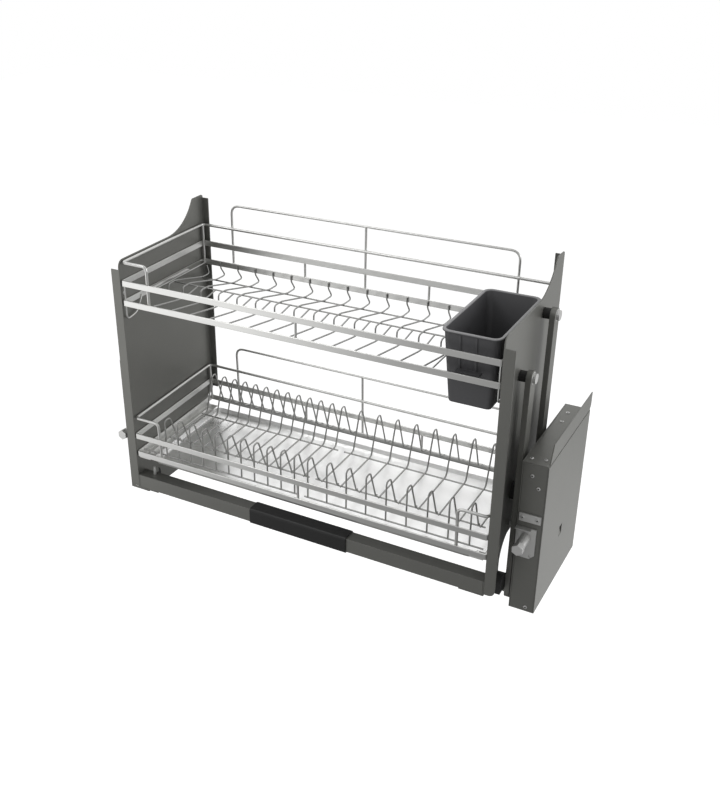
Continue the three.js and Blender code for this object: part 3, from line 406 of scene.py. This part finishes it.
def bands(count, first, second):
    """The faces between two rings of points."""
    faces = []
    for corner in range(count):
        after = (corner + 1) % count
        faces.append([first * count + corner, first * count + after,
                      second * count + after, second * count + corner])
    return faces


def skin(solid, rings):
    """A skin through rings of points, with a cap at each end."""
    count = len(rings[0])
    last = len(rings) - 1
    faces = [list(range(count))[::-1], [last * count + corner for corner in range(count)]]
    for ring in range(last):
        faces += bands(count, ring, ring + 1)
    solid.add([point for ring in rings for point in ring], faces)


def closed_skin(solid, rings):
    """A skin through rings of points, back to the first of them."""
    count = len(rings[0])
    faces = []
    for ring in range(len(rings)):
        faces += bands(count, ring, (ring + 1) % len(rings))
    solid.add([point for ring in rings for point in ring], faces)


def rounded_rectangle(x0, x1, y0, y1, corner, z):
    centres = [(x1 - corner, y0 + corner, -90), (x1 - corner, y1 - corner, 0),
               (x0 + corner, y1 - corner, 90), (x0 + corner, y0 + corner, 180)]
    outline = []
    for centre_x, centre_y, start in centres:
        for step in range(CORNER_STEPS + 1):
            angle = math.radians(start + 90 * step / CORNER_STEPS)
            outline.append((centre_x + corner * math.cos(angle), centre_y + corner * math.sin(angle), z))
    return outline


def flat_ring(solid, top):
    """A ring of flat bar on edge, with its long edges eased."""
    across = BAR_THICKNESS - BAR_EASE
    along = BAR_HEIGHT - BAR_EASE
    profile = [(0, BAR_EASE), (BAR_EASE, 0), (across, 0), (BAR_THICKNESS, BAR_EASE),
               (BAR_THICKNESS, along), (across, BAR_HEIGHT), (BAR_EASE, BAR_HEIGHT), (0, along)]
    rings = []
    for inset, height in profile:
        half = RING_HALF_WIDTH - inset
        rings.append(rounded_rectangle(-half, half, RING_FRONT_Y + inset, RING_BACK_Y - inset,
                                       max(RING_CORNER - inset, BAR_EASE), top - BAR_HEIGHT + height))
    closed_skin(solid, rings)


def box(solid, xs, ys, zs):
    corners = [(xs[0], ys[0]), (xs[1], ys[0]), (xs[1], ys[1]), (xs[0], ys[1])]
    skin(solid, [[(x, y, z) for x, y in corners] for z in zs])


def sheet_across(solid, xs, outline):
    """A sheet with an outline in Y and Z and a thickness along X."""
    skin(solid, [[(x, y, z) for y, z in outline] for x in xs])


def turned(solid, start, direction, profile, sides=TURNED_SIDES):
    """A round piece, from pairs of distance along its axis and radius."""
    direction = Vector(direction)
    side = direction.orthogonal().normalized()
    other = direction.cross(side)
    skin(solid, [circle(Vector(start) + direction * along, side, other, radius, sides)
                 for along, radius in profile])


# Materials


def shader(name, color, roughness, metallic):
    made = bpy.data.materials.new(name)
    made.use_nodes = True
    surface = made.node_tree.nodes["Principled BSDF"]
    surface.inputs["Base Color"].default_value = (*color, 1)
    surface.inputs["Roughness"].default_value = roughness
    surface.inputs["Metallic"].default_value = metallic
    return made, surface


def feed(tree, socket, value):
    """Gives a socket a constant or another node's output."""
    if isinstance(value, bpy.types.NodeSocket):
        tree.links.new(value, socket)
    else:
        socket.default_value = value


def math_node(tree, operation, *values):
    made = tree.nodes.new("ShaderNodeMath")
    made.operation = operation
    for index, value in enumerate(values):
        feed(tree, made.inputs[index], value)
    return made.outputs["Value"]


def range_node(tree, value, start, end):
    """Runs between two pairs of value and result, and stays at their results outside them."""
    made = tree.nodes.new("ShaderNodeMapRange")
    for name, number in zip(("From Min", "To Min", "From Max", "To Max"), (*start, *end)):
        made.inputs[name].default_value = number
    feed(tree, made.inputs["Value"], value)
    return made.outputs["Result"]


def mix_node(tree, share, low, high):
    """A colour between two others."""
    made = tree.nodes.new("ShaderNodeMix")
    made.data_type = "RGBA"
    for index, value in ((MIX_SHARE, share), (MIX_FROM, low), (MIX_TO, high)):
        feed(tree, made.inputs[index], value)
    return made.outputs[MIX_RESULT]


def axis_parts(tree, output):
    place = tree.nodes.new("ShaderNodeTexCoord")
    parts = tree.nodes.new("ShaderNodeSeparateXYZ")
    feed(tree, parts.inputs["Vector"], place.outputs[output])
    return parts.outputs


def noise(tree, scale, stretch, detail):
    place = tree.nodes.new("ShaderNodeTexCoord")
    mapping = tree.nodes.new("ShaderNodeMapping")
    texture = tree.nodes.new("ShaderNodeTexNoise")
    mapping.inputs["Scale"].default_value = stretch
    texture.inputs["Scale"].default_value = scale
    texture.inputs["Detail"].default_value = detail
    feed(tree, mapping.inputs["Vector"], place.outputs["Object"])
    feed(tree, texture.inputs["Vector"], mapping.outputs["Vector"])
    return texture.outputs["Fac"]


def add_relief(tree, surface, grain, strength, height):
    relief = tree.nodes.new("ShaderNodeBump")
    relief.inputs["Strength"].default_value = strength
    relief.inputs["Distance"].default_value = height
    feed(tree, relief.inputs["Height"], grain)
    feed(tree, surface.inputs["Normal"], relief.outputs["Normal"])
    return relief


def soften_edges(tree, relief, radius):
    edge = tree.nodes.new("ShaderNodeBevel")
    edge.samples = EDGE_SAMPLES
    edge.inputs["Radius"].default_value = radius
    feed(tree, relief.inputs["Normal"], edge.outputs["Normal"])


def patterned(name, look):
    """A material whose colour, roughness and relief follow patterns of noise."""
    low, high = look["colors"]
    smoothest, roughest = look["roughness"]
    made, surface = shader(name, low, smoothest, look["metallic"])
    tree = made.node_tree
    clouds = noise(tree, *look["clouds"])
    grain = noise(tree, *look["grain"]) if "grain" in look else clouds
    feed(tree, surface.inputs["Base Color"], mix_node(tree, clouds, (*low, 1), (*high, 1)))
    feed(tree, surface.inputs["Roughness"],
         range_node(tree, grain, (NOISE_LIMITS[0], smoothest), (NOISE_LIMITS[1], roughest)))
    if "relief" in look:
        relief = add_relief(tree, surface, grain, *look["relief"])
        if "edge" in look:
            soften_edges(tree, relief, look["edge"])
    return made


def paint_rim_highlight(plastic):
    """Paints a highlight on the bin's rim: its plastic turns paler towards the rim's top."""
    tree = plastic.node_tree
    color = tree.nodes["Principled BSDF"].inputs["Base Color"]
    height = axis_parts(tree, "Object")["Z"]
    foot = metres((0, 0, BIN_RIM_Z - BIN_RIM_HEIGHT / 2)).z
    top = metres((0, 0, BIN_RIM_Z - BIN_RIM_HEIGHT / 4)).z
    plain = color.links[0].from_socket
    # How much of the painted highlight shows, rising from halfway up the rim
    rim = range_node(tree, height, (foot, 0), (top, 1))
    feed(tree, color, mix_node(tree, rim, plain, (*BIN_RIM_HIGHLIGHT_COLOR, 1)))


def all_materials():
    materials = {name: patterned(name, look) for name, look in LOOKS.items()}
    # Paints a highlight on the bin's rim
    paint_rim_highlight(materials["grey_plastic"])
    return materials


def dress_nodes(frame, materials):
    for entry in frame["record"]["subparts"]:
        placed = frame["nodes"][entry["node"]]
        smooth(placed.data)
        for index in range(len(placed.material_slots)):
            placed.material_slots[index].material = materials[entry["material_slot"]]


# Wire baskets


def ring_foot(levels):
    """The height at which posts and wires end, halfway up the low ring."""
    return levels["low"] - BAR_HEIGHT / 2


def guard_wire(solid, levels, end):
    back_y = RING_BACK_Y - BAR_THICKNESS / 2
    guard = levels["guard"]
    wire(solid, [
        (-GUARD_LEG_X, GUARD_FRONT_Y, ring_foot(levels)),
        (-GUARD_LEG_X, GUARD_FRONT_Y, guard),
        (-GUARD_SIDE_X, GUARD_FRONT_Y, guard),
        (-GUARD_SIDE_X, back_y, guard),
        (GUARD_SIDE_X, back_y, guard),
        *end,
    ], GUARD_RADIUS)


def back_loop(solid, levels):
    foot = ring_foot(levels)
    wire(solid, [
        (-LOOP_HALF_WIDTH, BACK_POST_Y, foot),
        (-LOOP_HALF_WIDTH, BACK_POST_Y, levels["loop"]),
        (LOOP_HALF_WIDTH, BACK_POST_Y, levels["loop"]),
        (LOOP_HALF_WIDTH, BACK_POST_Y, foot),
    ], POST_RADIUS, LOOP_BEND)


def post(solid, x, y, low, high):
    wire(solid, [(x, y, low), (x, y, high)], POST_RADIUS)


def basket_frame(solid, levels, guard_end):
    foot = ring_foot(levels)
    middle = levels["top"] - BAR_HEIGHT / 2
    front_y = RING_FRONT_Y + BAR_THICKNESS + POST_RADIUS - WELD
    corner_x = RING_INSIDE_X - POST_RADIUS + WELD
    corner_y = RING_BACK_Y - BAR_THICKNESS - POST_RADIUS + WELD
    flat_ring(solid, levels["top"])
    flat_ring(solid, levels["low"])
    guard_wire(solid, levels, guard_end)
    back_loop(solid, levels)
    post(solid, 0, BACK_POST_Y, foot, levels["loop"])
    post(solid, 0, front_y, foot, middle)
    for side in (-1, 1):
        post(solid, side * BACK_POST_X, BACK_POST_Y, foot, middle)
        post(solid, side * corner_x, corner_y, foot, levels["guard"])


def corner_clip(solid, side):
    """A wire clip below the front corner of the upper basket, in the plane of the side bar."""
    x = side * (RING_INSIDE_X - CLIP_RADIUS + WELD)
    y = RING_FRONT_Y + BAR_THICKNESS + CLIP_RADIUS - WELD / 2
    low = UPPER_LEVELS["low"] - BAR_HEIGHT - CLIP_DROP
    wire(solid, [
        (x, y, UPPER_LEVELS["top"] - BAR_HEIGHT / 2),
        (x, y, low),
        (x, y + CLIP_REACH, low + CLIP_RISE),
        (x, y + CLIP_REACH + CLIP_TAIL_REACH, ring_foot(UPPER_LEVELS)),
    ], CLIP_RADIUS, CLIP_BEND)


def lower_clip(solid, side):
    """A short wire below the front rail of the lower basket."""
    z = LOWER_LEVELS["low"] - BAR_HEIGHT - CLIP_RADIUS + WELD
    y = RING_FRONT_Y + CLIP_RADIUS
    wire(solid, [(side * x, y, z) for x in LOWER_CLIP], CLIP_RADIUS)


def bin_rest(solid):
    z = ring_foot(UPPER_LEVELS)
    front = RING_FRONT_Y + BAR_THICKNESS - WELD
    back = RING_BACK_Y - BAR_THICKNESS + WELD
    wire(solid, [(BIN_REST_X, front, z), (BIN_REST_X, back, z)], CLIP_RADIUS)
    for y in (BIN_REST_Y, BIN_REST_FRONT_Y):
        ends = (BIN_REST_X - CLIP_RADIUS, RING_INSIDE_X + WELD)
        wire(solid, [(x, y, z - WELD) for x in ends], CLIP_RADIUS)


def upper_guard_end():
    """The upper guard wire goes down at the right, behind the bin."""
    return [(GUARD_SIDE_X, UPPER_GUARD_END_Y, z) for z in (UPPER_LEVELS["guard"], ring_foot(UPPER_LEVELS))]


def lower_guard_end():
    """The lower guard wire goes round the right corner and down in front."""
    guard = LOWER_LEVELS["guard"]
    return [(GUARD_SIDE_X, GUARD_FRONT_Y, guard), (GUARD_LEG_X, GUARD_FRONT_Y, guard),
            (GUARD_LEG_X, GUARD_FRONT_Y, ring_foot(LOWER_LEVELS))]


def baskets(materials):
    upper = Solid()
    basket_frame(upper, UPPER_LEVELS, upper_guard_end())
    bin_rest(upper)
    lower = Solid(leans=True)
    basket_frame(lower, LOWER_LEVELS, lower_guard_end())
    for side in (-1, 1):
        corner_clip(upper, side)
        lower_clip(lower, side)
    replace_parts(upper.piece("upper_basket_looks", "carriage", "satin_steel", materials), "upper_basket_frame")
    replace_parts(lower.piece("lower_basket_looks", "carriage", "satin_steel", materials), "lower_basket_frame")


# Bowl rack and plate racks


def wave(solid, x, start_z, low_y):
    hook_y = RING_BACK_Y - BAR_THICKNESS - SEAT_GAP - RACK_RADIUS
    hook_end_z = UPPER_LEVELS["low"] - HOOK_DROP - HOOK_LENGTH
    hook_heights = (start_z, hook_end_z) if start_z > hook_end_z else (start_z,)
    wire(solid, [(x, hook_y, z) for z in hook_heights] + [
        (x, low_y, WAVE_LOW_Z),
        (x, WAVE_REAR_WIRE_Y, WAVE_REAR_Z),
        (x, WAVE_CREST_Y, WAVE_CREST_Z),
        (x, WAVE_STEP_Y, WAVE_CREST_Z),
        (x, WAVE_STEP_Y, WAVE_STEP_FOOT_Z - RACK_RADIUS),
    ], RACK_RADIUS, WAVE_BEND)


def trough(solid, x, wire_z):
    under = CROSSED_SHARE * RACK_RADIUS
    wire(solid, [
        (x, TROUGH_START_Y, wire_z + under),
        (x, RACK_FRONT_Y, wire_z + under),
        (x, TROUGH_LOW_Y, TROUGH_LOW_Z),
        (x, TROUGH_END_Y, WAVE_CREST_Z - under),
    ], RACK_RADIUS, TROUGH_BEND)


def cross_wire(solid, x0, x1, y, z):
    wire(solid, [(x0, y, z), (x1, y, z)], RACK_RADIUS)


def bowl_rack(materials):
    under = CROSSED_SHARE * RACK_RADIUS
    wire_z = UPPER_LEVELS["low"] - BOWL_FRONT_DROP
    left = -EDGE_WAVE_X - RACK_RADIUS
    right = TROUGH_FIRST_X + (WAVE_COUNT - 1) * BOWL_PITCH + BOWL_STUB
    hook_start = UPPER_LEVELS["low"] - HOOK_DROP
    solid = Solid()
    cross_wire(solid, left, right, RACK_FRONT_Y, wire_z)
    cross_wire(solid, left, right, TROUGH_END_Y, WAVE_CREST_Z - under)
    cross_wire(solid, left, right, WAVE_REAR_WIRE_Y, WAVE_REAR_Z - under)
    cross_wire(solid, left, right, WAVE_STEP_Y + under, WAVE_STEP_FOOT_Z)
    wave(solid, -EDGE_WAVE_X, hook_start - HOOK_LENGTH, EDGE_WAVE_LOW_Y)
    for index in range(WAVE_COUNT):
        wave(solid, WAVE_FIRST_X + index * BOWL_PITCH, hook_start, WAVE_LOW_Y)
        trough(solid, TROUGH_FIRST_X + index * BOWL_PITCH, wire_z)
    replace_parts(solid.piece("bowl_rack_looks", "carriage", "bright_wire", materials), "bowl_rack")


def arch(solid, x):
    wire(solid, [
        (x, RACK_FRONT_Y, FRONT_WIRE_Z),
        (x, RACK_FRONT_Y, ARCH_TOP_Z),
        (x, ARCH_TOP_BACK_Y, ARCH_TOP_Z),
        (x, ARCH_FOOT_Y, FIN_FLOOR_Z),
        (x, ARCH_FOOT_Y + ARCH_TAIL, FIN_FLOOR_Z),
    ], RACK_RADIUS, FIN_BEND)


def fin(solid, x):
    wire(solid, [
        (x, FIN_FRONT_Y, FIN_FLOOR_Z),
        (x, FIN_REAR_FOOT_Y, FIN_FLOOR_Z),
        (x, FIN_PEAK[0] - FIN_PEAK_HALF, FIN_PEAK[1]),
        (x, FIN_PEAK[0] + FIN_PEAK_HALF, FIN_PEAK[1]),
        (x, *FIN_BACK),
        (x, *FIN_HOOK),
    ], RACK_RADIUS, FIN_BEND)


def spaced(row):
    """The places of a row of wires."""
    return [row["first"] + index * row["pitch"] for index in range(row["count"])]


def plate_rack(name, replaced, floor_xs, arch_xs, front_ends, materials):
    wire_z = FIN_FLOOR_Z - CROSSED_SHARE * RACK_RADIUS
    left = min(floor_xs + arch_xs) - RACK_STUB
    right = max(floor_xs + arch_xs) + RACK_STUB
    solid = Solid()
    cross_wire(solid, *front_ends, RACK_FRONT_Y, FRONT_WIRE_Z)
    cross_wire(solid, left, right, ARCH_FOOT_Y + ARCH_TAIL / 2, wire_z)
    cross_wire(solid, left, right, FIN_REAR_FOOT_Y - FIN_BEND, wire_z)
    for x in floor_xs:
        fin(solid, x)
    for x in arch_xs:
        arch(solid, x)
    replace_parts(solid.piece(name, "carriage", "bright_wire", materials), replaced)


def plate_racks(materials):
    narrow_arches = spaced(NARROW_ARCHES)
    wide_arches = spaced(WIDE_ARCHES)
    plate_rack("wide_rack_looks", "plate_rack_wide", spaced(WIDE_FLOOR), wide_arches,
               (wide_arches[0] - RACK_STUB, RING_INSIDE_X - RACK_STUB), materials)
    plate_rack("narrow_rack_looks", "plate_rack_narrow", spaced(NARROW_FLOOR), narrow_arches,
               (RACK_STUB - RING_INSIDE_X, narrow_arches[-1] + RACK_STUB), materials)


# Cutlery bin


def bin_ring(inset, z):
    corner = max(BIN_CORNER - inset / 2, BIN_WALL)
    return rounded_rectangle(BIN_SIDES[0] + inset, BIN_SIDES[1] - inset, BIN_ENDS[0] + inset,
                             BIN_ENDS[1] - inset, corner, z)


def bin_inset(z):
    """How far the tapered wall lies inside the rim's outline at a height."""
    share = (BIN_RIM_Z - z) / (BIN_RIM_Z - BIN_BOTTOM_Z)
    return BIN_RIM_WIDTH + share * (BIN_TAPER - BIN_RIM_WIDTH)


def bin_shell(solid):
    """The bin from its bottom up outside, over its stepped rim and down inside."""
    rim_bottom = BIN_RIM_Z - BIN_RIM_HEIGHT
    step = BIN_RIM_STEP
    inner = BIN_RIM_WIDTH + BIN_WALL
    skin(solid, [
        bin_ring(BIN_TAPER + 2 * BIN_WALL, BIN_BOTTOM_Z),
        bin_ring(BIN_TAPER + BIN_WALL / 2, BIN_BOTTOM_Z + BIN_WALL / 2),
        bin_ring(BIN_TAPER, BIN_BOTTOM_Z + 2 * BIN_WALL),
        bin_ring(BIN_RIM_WIDTH, rim_bottom - step),
        bin_ring(BIN_RIM_WIDTH / 2, rim_bottom - step),
        bin_ring(BIN_RIM_WIDTH / 2, rim_bottom + 2 * step),
        bin_ring(0, rim_bottom + 2 * step),
        bin_ring(0, BIN_RIM_Z - 2 * step),
        bin_ring(step, BIN_RIM_Z - step / 2),
        bin_ring(BIN_RIM_WIDTH / 2, BIN_RIM_Z),
        bin_ring(inner - step, BIN_RIM_Z - step / 2),
        bin_ring(inner, BIN_RIM_Z - 2 * step),
        bin_ring(BIN_TAPER + BIN_WALL, BIN_BOTTOM_Z + 2 * BIN_WALL),
        bin_ring(BIN_TAPER + 2 * BIN_WALL, BIN_BOTTOM_Z + BIN_WALL),
    ])


def bin_rib(solid, x, top):
    front = BIN_ENDS[0]
    sheet_across(solid, (x - BIN_RIB_WIDTH / 2, x + BIN_RIB_WIDTH / 2), [
        (front + bin_inset(top) + BIN_WALL / 2, top),
        (front + bin_inset(top) - BIN_RIB_DEPTH, top),
        (front + bin_inset(BIN_RIB_END_Z) - BIN_RIB_DEPTH, BIN_RIB_END_Z),
        (front + bin_inset(BIN_RIB_END_Z) + BIN_WALL / 2, BIN_RIB_END_Z),
    ])


def bin_ledge(solid, y0, y1):
    """A ledge that sits on a cross wire of the upper basket."""
    middle = sum(BIN_SIDES) / 2
    z = ring_foot(UPPER_LEVELS) + CLIP_RADIUS + SEAT_GAP
    box(solid, (middle - BIN_LEDGE_WIDTH / 2, middle + BIN_LEDGE_WIDTH / 2), (y0, y1),
        (z, z + BIN_LEDGE_THICKNESS))


def cutlery_bin(materials):
    solid = Solid()
    bin_shell(solid)
    for share in BIN_RIB_SHARES:
        bin_rib(solid, BIN_SIDES[0] + share * (BIN_SIDES[1] - BIN_SIDES[0]), BIN_RIM_Z - BIN_RIM_HEIGHT)
    ledge_inset = bin_inset(UPPER_LEVELS["low"]) + BIN_WALL / 2
    bin_ledge(solid, BIN_REST_FRONT_Y - CLIP_RADIUS, BIN_ENDS[0] + ledge_inset)
    bin_ledge(solid, BIN_ENDS[1] - ledge_inset, BIN_REST_Y + CLIP_RADIUS)
    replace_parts(solid.piece("cutlery_bin_looks", "cutlery_bin", "grey_plastic", materials), "cutlery_bin")


# Spring housings: sheets with a seam below the wall flange and a louvre in the outer side


def pierced_panel(solid, xs, ys, zs, window_ys, window_zs):
    """A flat panel with one rectangular window."""
    outer = [(ys[0], zs[0]), (ys[1], zs[0]), (ys[1], zs[1]), (ys[0], zs[1])]
    inner = [(window_ys[0], window_zs[0]), (window_ys[1], window_zs[0]),
             (window_ys[1], window_zs[1]), (window_ys[0], window_zs[1])]
    closed_skin(solid, [[(x, y, z) for y, z in outline]
                        for x, outline in ((xs[0], outer), (xs[1], outer), (xs[1], inner), (xs[0], inner))])


def louvre(solid, side):
    """The tongue pressed inwards from the panel's window."""
    depths = (HOUSING_SHEET / 4, LOUVRE_DEPTH)
    front, back = LOUVRE_Y
    rings = []
    for depth, z in zip(depths, LOUVRE_Z):
        x = HOUSING_OUTER_X - depth
        xs = (side * x, side * (x - LOUVRE_THICKNESS))
        rings.append([(xs[0], front, z), (xs[0], back, z), (xs[1], back, z), (xs[1], front, z)])
    skin(solid, rings)


def wall_flange(solid, side):
    outer = side * (HOUSING_OUTER_X - SEAM_DEPTH / 2)
    inner = side * (HOUSING_OUTER_X - HOUSING_SHEET)
    low = HOUSING_TOP_Z - SEAM_HEIGHT / 2
    sheet_across(solid, (inner, outer), [
        (FLANGE_FRONT_Y, low),
        (HOUSING_BACK_Y - SEAT_GAP, low),
        (HOUSING_BACK_Y - SEAT_GAP, HOUSING_TOP_Z + SEAT_GAP),
        (FLANGE_BACK_Y, HOUSING_TOP_Z + FLANGE_BEVEL / 2),
        (FLANGE_BACK_Y, FLANGE_TOP_Z),
        (FLANGE_FRONT_Y + FLANGE_BEVEL, FLANGE_TOP_Z),
    ])


def housing_sheets(solid, side):
    """The folded sheets, with the outer panel ending at the seam."""
    inner = HOUSING_INNER_X + HOUSING_SHEET + SEAT_GAP
    seam = HOUSING_OUTER_X - SEAM_DEPTH - HOUSING_SHEET / 4
    xs = (side * inner, side * seam)
    ys = (HOUSING_FRONT_Y, HOUSING_BACK_Y)
    low, high = HOUSING_BOTTOM_Z, HOUSING_TOP_Z
    between = (low + HOUSING_SHEET, high - HOUSING_SHEET)
    box(solid, xs, (ys[0], ys[0] + HOUSING_SHEET), between)
    box(solid, xs, (ys[1] - HOUSING_SHEET, ys[1]), between)
    box(solid, xs, ys, (low, low + HOUSING_SHEET))
    box(solid, xs, ys, (high - HOUSING_SHEET, high))
    pierced_panel(solid, (side * (HOUSING_OUTER_X - HOUSING_SHEET), side * HOUSING_OUTER_X), ys,
                  (low, high - SEAM_HEIGHT), LOUVRE_Y, LOUVRE_Z)


def housing(side, name, materials):
    solid = Solid()
    housing_sheets(solid, side)
    louvre(solid, side)
    wall_flange(solid, side)
    piece = solid.piece(f"{name}_housing_looks", "housings", "graphite_paint", materials)
    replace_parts(piece, f"{name}_housing_shell")


# Screws, washers and studs


def screw(heads, recess_shades, start, direction, radius):
    recess = radius * RECESS_SHARE
    turned(heads, start, direction, [(0, radius), (SCREW_HEIGHT / 2, radius),
                                     (SCREW_HEIGHT, radius * SCREW_TOP_SHARE), (SCREW_HEIGHT, recess)])
    # A dark disc sunk in the head's recess is painted shade
    seat = Vector(start) + Vector(direction) * (SCREW_HEIGHT - SEAT_GAP)
    turned(recess_shades, seat, direction, [(0, recess), (RECESS_HEIGHT, recess)], RECESS_SIDES)


def housing_screws(materials):
    heads = Solid()
    recess_shades = Solid()
    plate_front = HOUSING_FRONT_Y - SEAT_GAP - FRONT_PLATE_THICKNESS
    for side in (-1, 1):
        for x, y in TOP_SCREWS:
            place = (side * (HOUSING_INNER_X + x), HOUSING_FRONT_Y + y, HOUSING_TOP_Z)
            screw(heads, recess_shades, place, (0, 0, 1), SCREW_RADIUS)
        for x, z in FRONT_SCREWS:
            place = (side * (HOUSING_INNER_X + x), HOUSING_FRONT_Y, HOUSING_TOP_Z + z)
            screw(heads, recess_shades, place, (0, -1, 0), SCREW_RADIUS)
        for x in STOP_SCREWS_X:
            screw(heads, recess_shades, (side * x, plate_front, STOP_PLATE_Z), (0, -1, 0), SCREW_RADIUS)
        for x, z in ADJUSTER_SCREWS:
            screw(heads, recess_shades, (side * x, plate_front, z), (0, -1, 0), SMALL_SCREW_RADIUS)
    heads.piece("housing_screws", "housings", "zinc_steel", materials)
    # Dark discs of the black rubber material paint the shade in the screw heads' recesses
    recess_shades.piece("housing_screw_recess_shades", "housings", "black_rubber", materials)


def carriage_fasteners(materials):
    heads = Solid()
    recess_shades = Solid()
    washer = [(0, WASHER_RADIUS), (SEAT_GAP, WASHER_RADIUS)]
    for side in (-1, 1):
        screw(heads, recess_shades, (side * PLATE_INNER_X, *BASKET_SCREW), (-side, 0, 0), SCREW_RADIUS)
        for y, z in BOLTS:
            turned(heads, (side * ARM_OUTER_X, y, z), (side, 0, 0), washer, WASHER_SIDES)
    turned(heads, (*STUD_PLACE, BAR_TOP_Z), (0, 0, 1), STUD_PROFILE)
    heads.piece("carriage_fasteners", "carriage", "zinc_steel", materials)
    # Dark discs of the black rubber material paint the shade in the screw heads' recesses
    recess_shades.piece("carriage_screw_recess_shades", "carriage", "black_rubber", materials)


# Camera, light and floor


def add_camera():
    data = bpy.data.cameras.new("camera")
    data.lens = CAMERA_LENS
    data.sensor_width = CAMERA_SENSOR
    data.shift_x, data.shift_y = CAMERA_SHIFT
    camera = bpy.data.objects.new("camera", data)
    camera.location = metres(CAMERA_PLACE)
    camera.rotation_euler = [math.radians(angle) for angle in CAMERA_TURN]
    bpy.context.scene.collection.objects.link(camera)
    bpy.context.scene.camera = camera


def add_softbox(name, place, size, power):
    data = bpy.data.lights.new(name, "AREA")
    data.shape = "RECTANGLE"
    data.size, data.size_y = size
    data.energy = power
    lamp = bpy.data.objects.new(name, data)
    lamp.location = place
    lamp.rotation_euler = (Vector(LAMP_TARGET) - Vector(place)).to_track_quat("-Z", "Y").to_euler()
    bpy.context.scene.collection.objects.link(lamp)


def add_world():
    """White for the camera, plain soft light for the object, brightest at the left back in reflections."""
    world = bpy.data.worlds.new("studio")
    world.use_nodes = True
    tree = world.node_tree
    back = tree.nodes["Background"]
    path = tree.nodes.new("ShaderNodeLightPath")
    direction = axis_parts(tree, "Generated")
    mirrored = math_node(tree, "MULTIPLY", range_node(tree, direction["X"], *WORLD_ACROSS),
                         range_node(tree, direction["Y"], *WORLD_ALONG))
    seen = math_node(tree, "MULTIPLY", path.outputs["Is Camera Ray"], 1 - WORLD_LIGHT)
    over = math_node(tree, "SUBTRACT", mirrored, WORLD_LIGHT)
    glossy = math_node(tree, "MULTIPLY", path.outputs["Is Glossy Ray"], over)
    strength = math_node(tree, "ADD", math_node(tree, "ADD", seen, glossy), WORLD_LIGHT)
    feed(tree, back.inputs["Strength"], strength)
    feed(tree, back.inputs["Color"], WHITE)
    bpy.context.scene.world = world


def floor_mirrored(tree):
    """How bright the floor stands in reflections.

    Brightest far to the left, half as bright from the rack backwards, and lit again at the rack's right.
    """
    place = axis_parts(tree, "Object")
    left, middle, right = FLOOR_ACROSS
    outer = range_node(tree, place["X"], left, middle)
    inner = range_node(tree, place["X"], (middle[0], 0), (right[0], right[1] - middle[1]))
    shade = range_node(tree, place["Y"], *FLOOR_SHADE)
    front = math_node(tree, "MULTIPLY", math_node(tree, "ADD", outer, inner), shade)
    behind = math_node(tree, "MULTIPLY", range_node(tree, place["Y"], *FLOOR_BEHIND),
                       range_node(tree, place["X"], *FLOOR_BESIDE))
    beside = math_node(tree, "MULTIPLY", behind, range_node(tree, place["Y"], *FLOOR_BESIDE_START))
    return math_node(tree, "ADD", front, beside)


def floor_material():
    """A pale floor that keeps shadows, glows to white for the camera and has its own look in reflections."""
    made, surface = shader("floor", FLOOR_COLOR, FLOOR_ROUGHNESS, 0)
    tree = made.node_tree
    path = tree.nodes.new("ShaderNodeLightPath")
    glow = math_node(tree, "MULTIPLY", path.outputs["Is Camera Ray"], FLOOR_GLOW)
    feed(tree, surface.inputs["Emission Color"], WHITE)
    feed(tree, surface.inputs["Emission Strength"], glow)
    mirror = tree.nodes.new("ShaderNodeEmission")
    feed(tree, mirror.inputs["Strength"], floor_mirrored(tree))
    either = tree.nodes.new("ShaderNodeMixShader")
    feed(tree, either.inputs["Fac"], path.outputs["Is Glossy Ray"])
    feed(tree, either.inputs[SHADER_FROM], surface.outputs["BSDF"])
    feed(tree, either.inputs[SHADER_TO], mirror.outputs["Emission"])
    feed(tree, tree.nodes["Material Output"].inputs["Surface"], either.outputs["Shader"])
    return made


def add_floor():
    mesh = bpy.data.meshes.new("floor")
    corners = [(-1, -1), (1, -1), (1, 1), (-1, 1)]
    mesh.from_pydata([(x * FLOOR_HALF, y * FLOOR_HALF, FLOOR_Z) for x, y in corners], [], [(0, 1, 2, 3)])
    mesh.materials.append(floor_material())
    floor = bpy.data.objects.new("floor", mesh)
    bpy.context.scene.collection.objects.link(floor)
    floor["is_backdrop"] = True


def studio():
    bpy.context.scene.view_settings.view_transform = "Standard"
    add_camera()
    add_world()
    add_floor()
    for name, lamp in LAMPS.items():
        add_softbox(name, *lamp)


def save_sizes(visual_box):
    def plain(box_corners):
        return [[float(value) for value in corner] for corner in box_corners]


def main():
    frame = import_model()
    studio()
    materials = all_materials()
    dress_nodes(frame, materials)
    baskets(materials)
    bowl_rack(materials)
    plate_racks(materials)
    cutlery_bin(materials)
    for side, name in ((-1, "left"), (1, "right")):
        housing(side, name, materials)
    housing_screws(materials)
    carriage_fasteners(materials)
    save_sizes(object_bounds())


main()
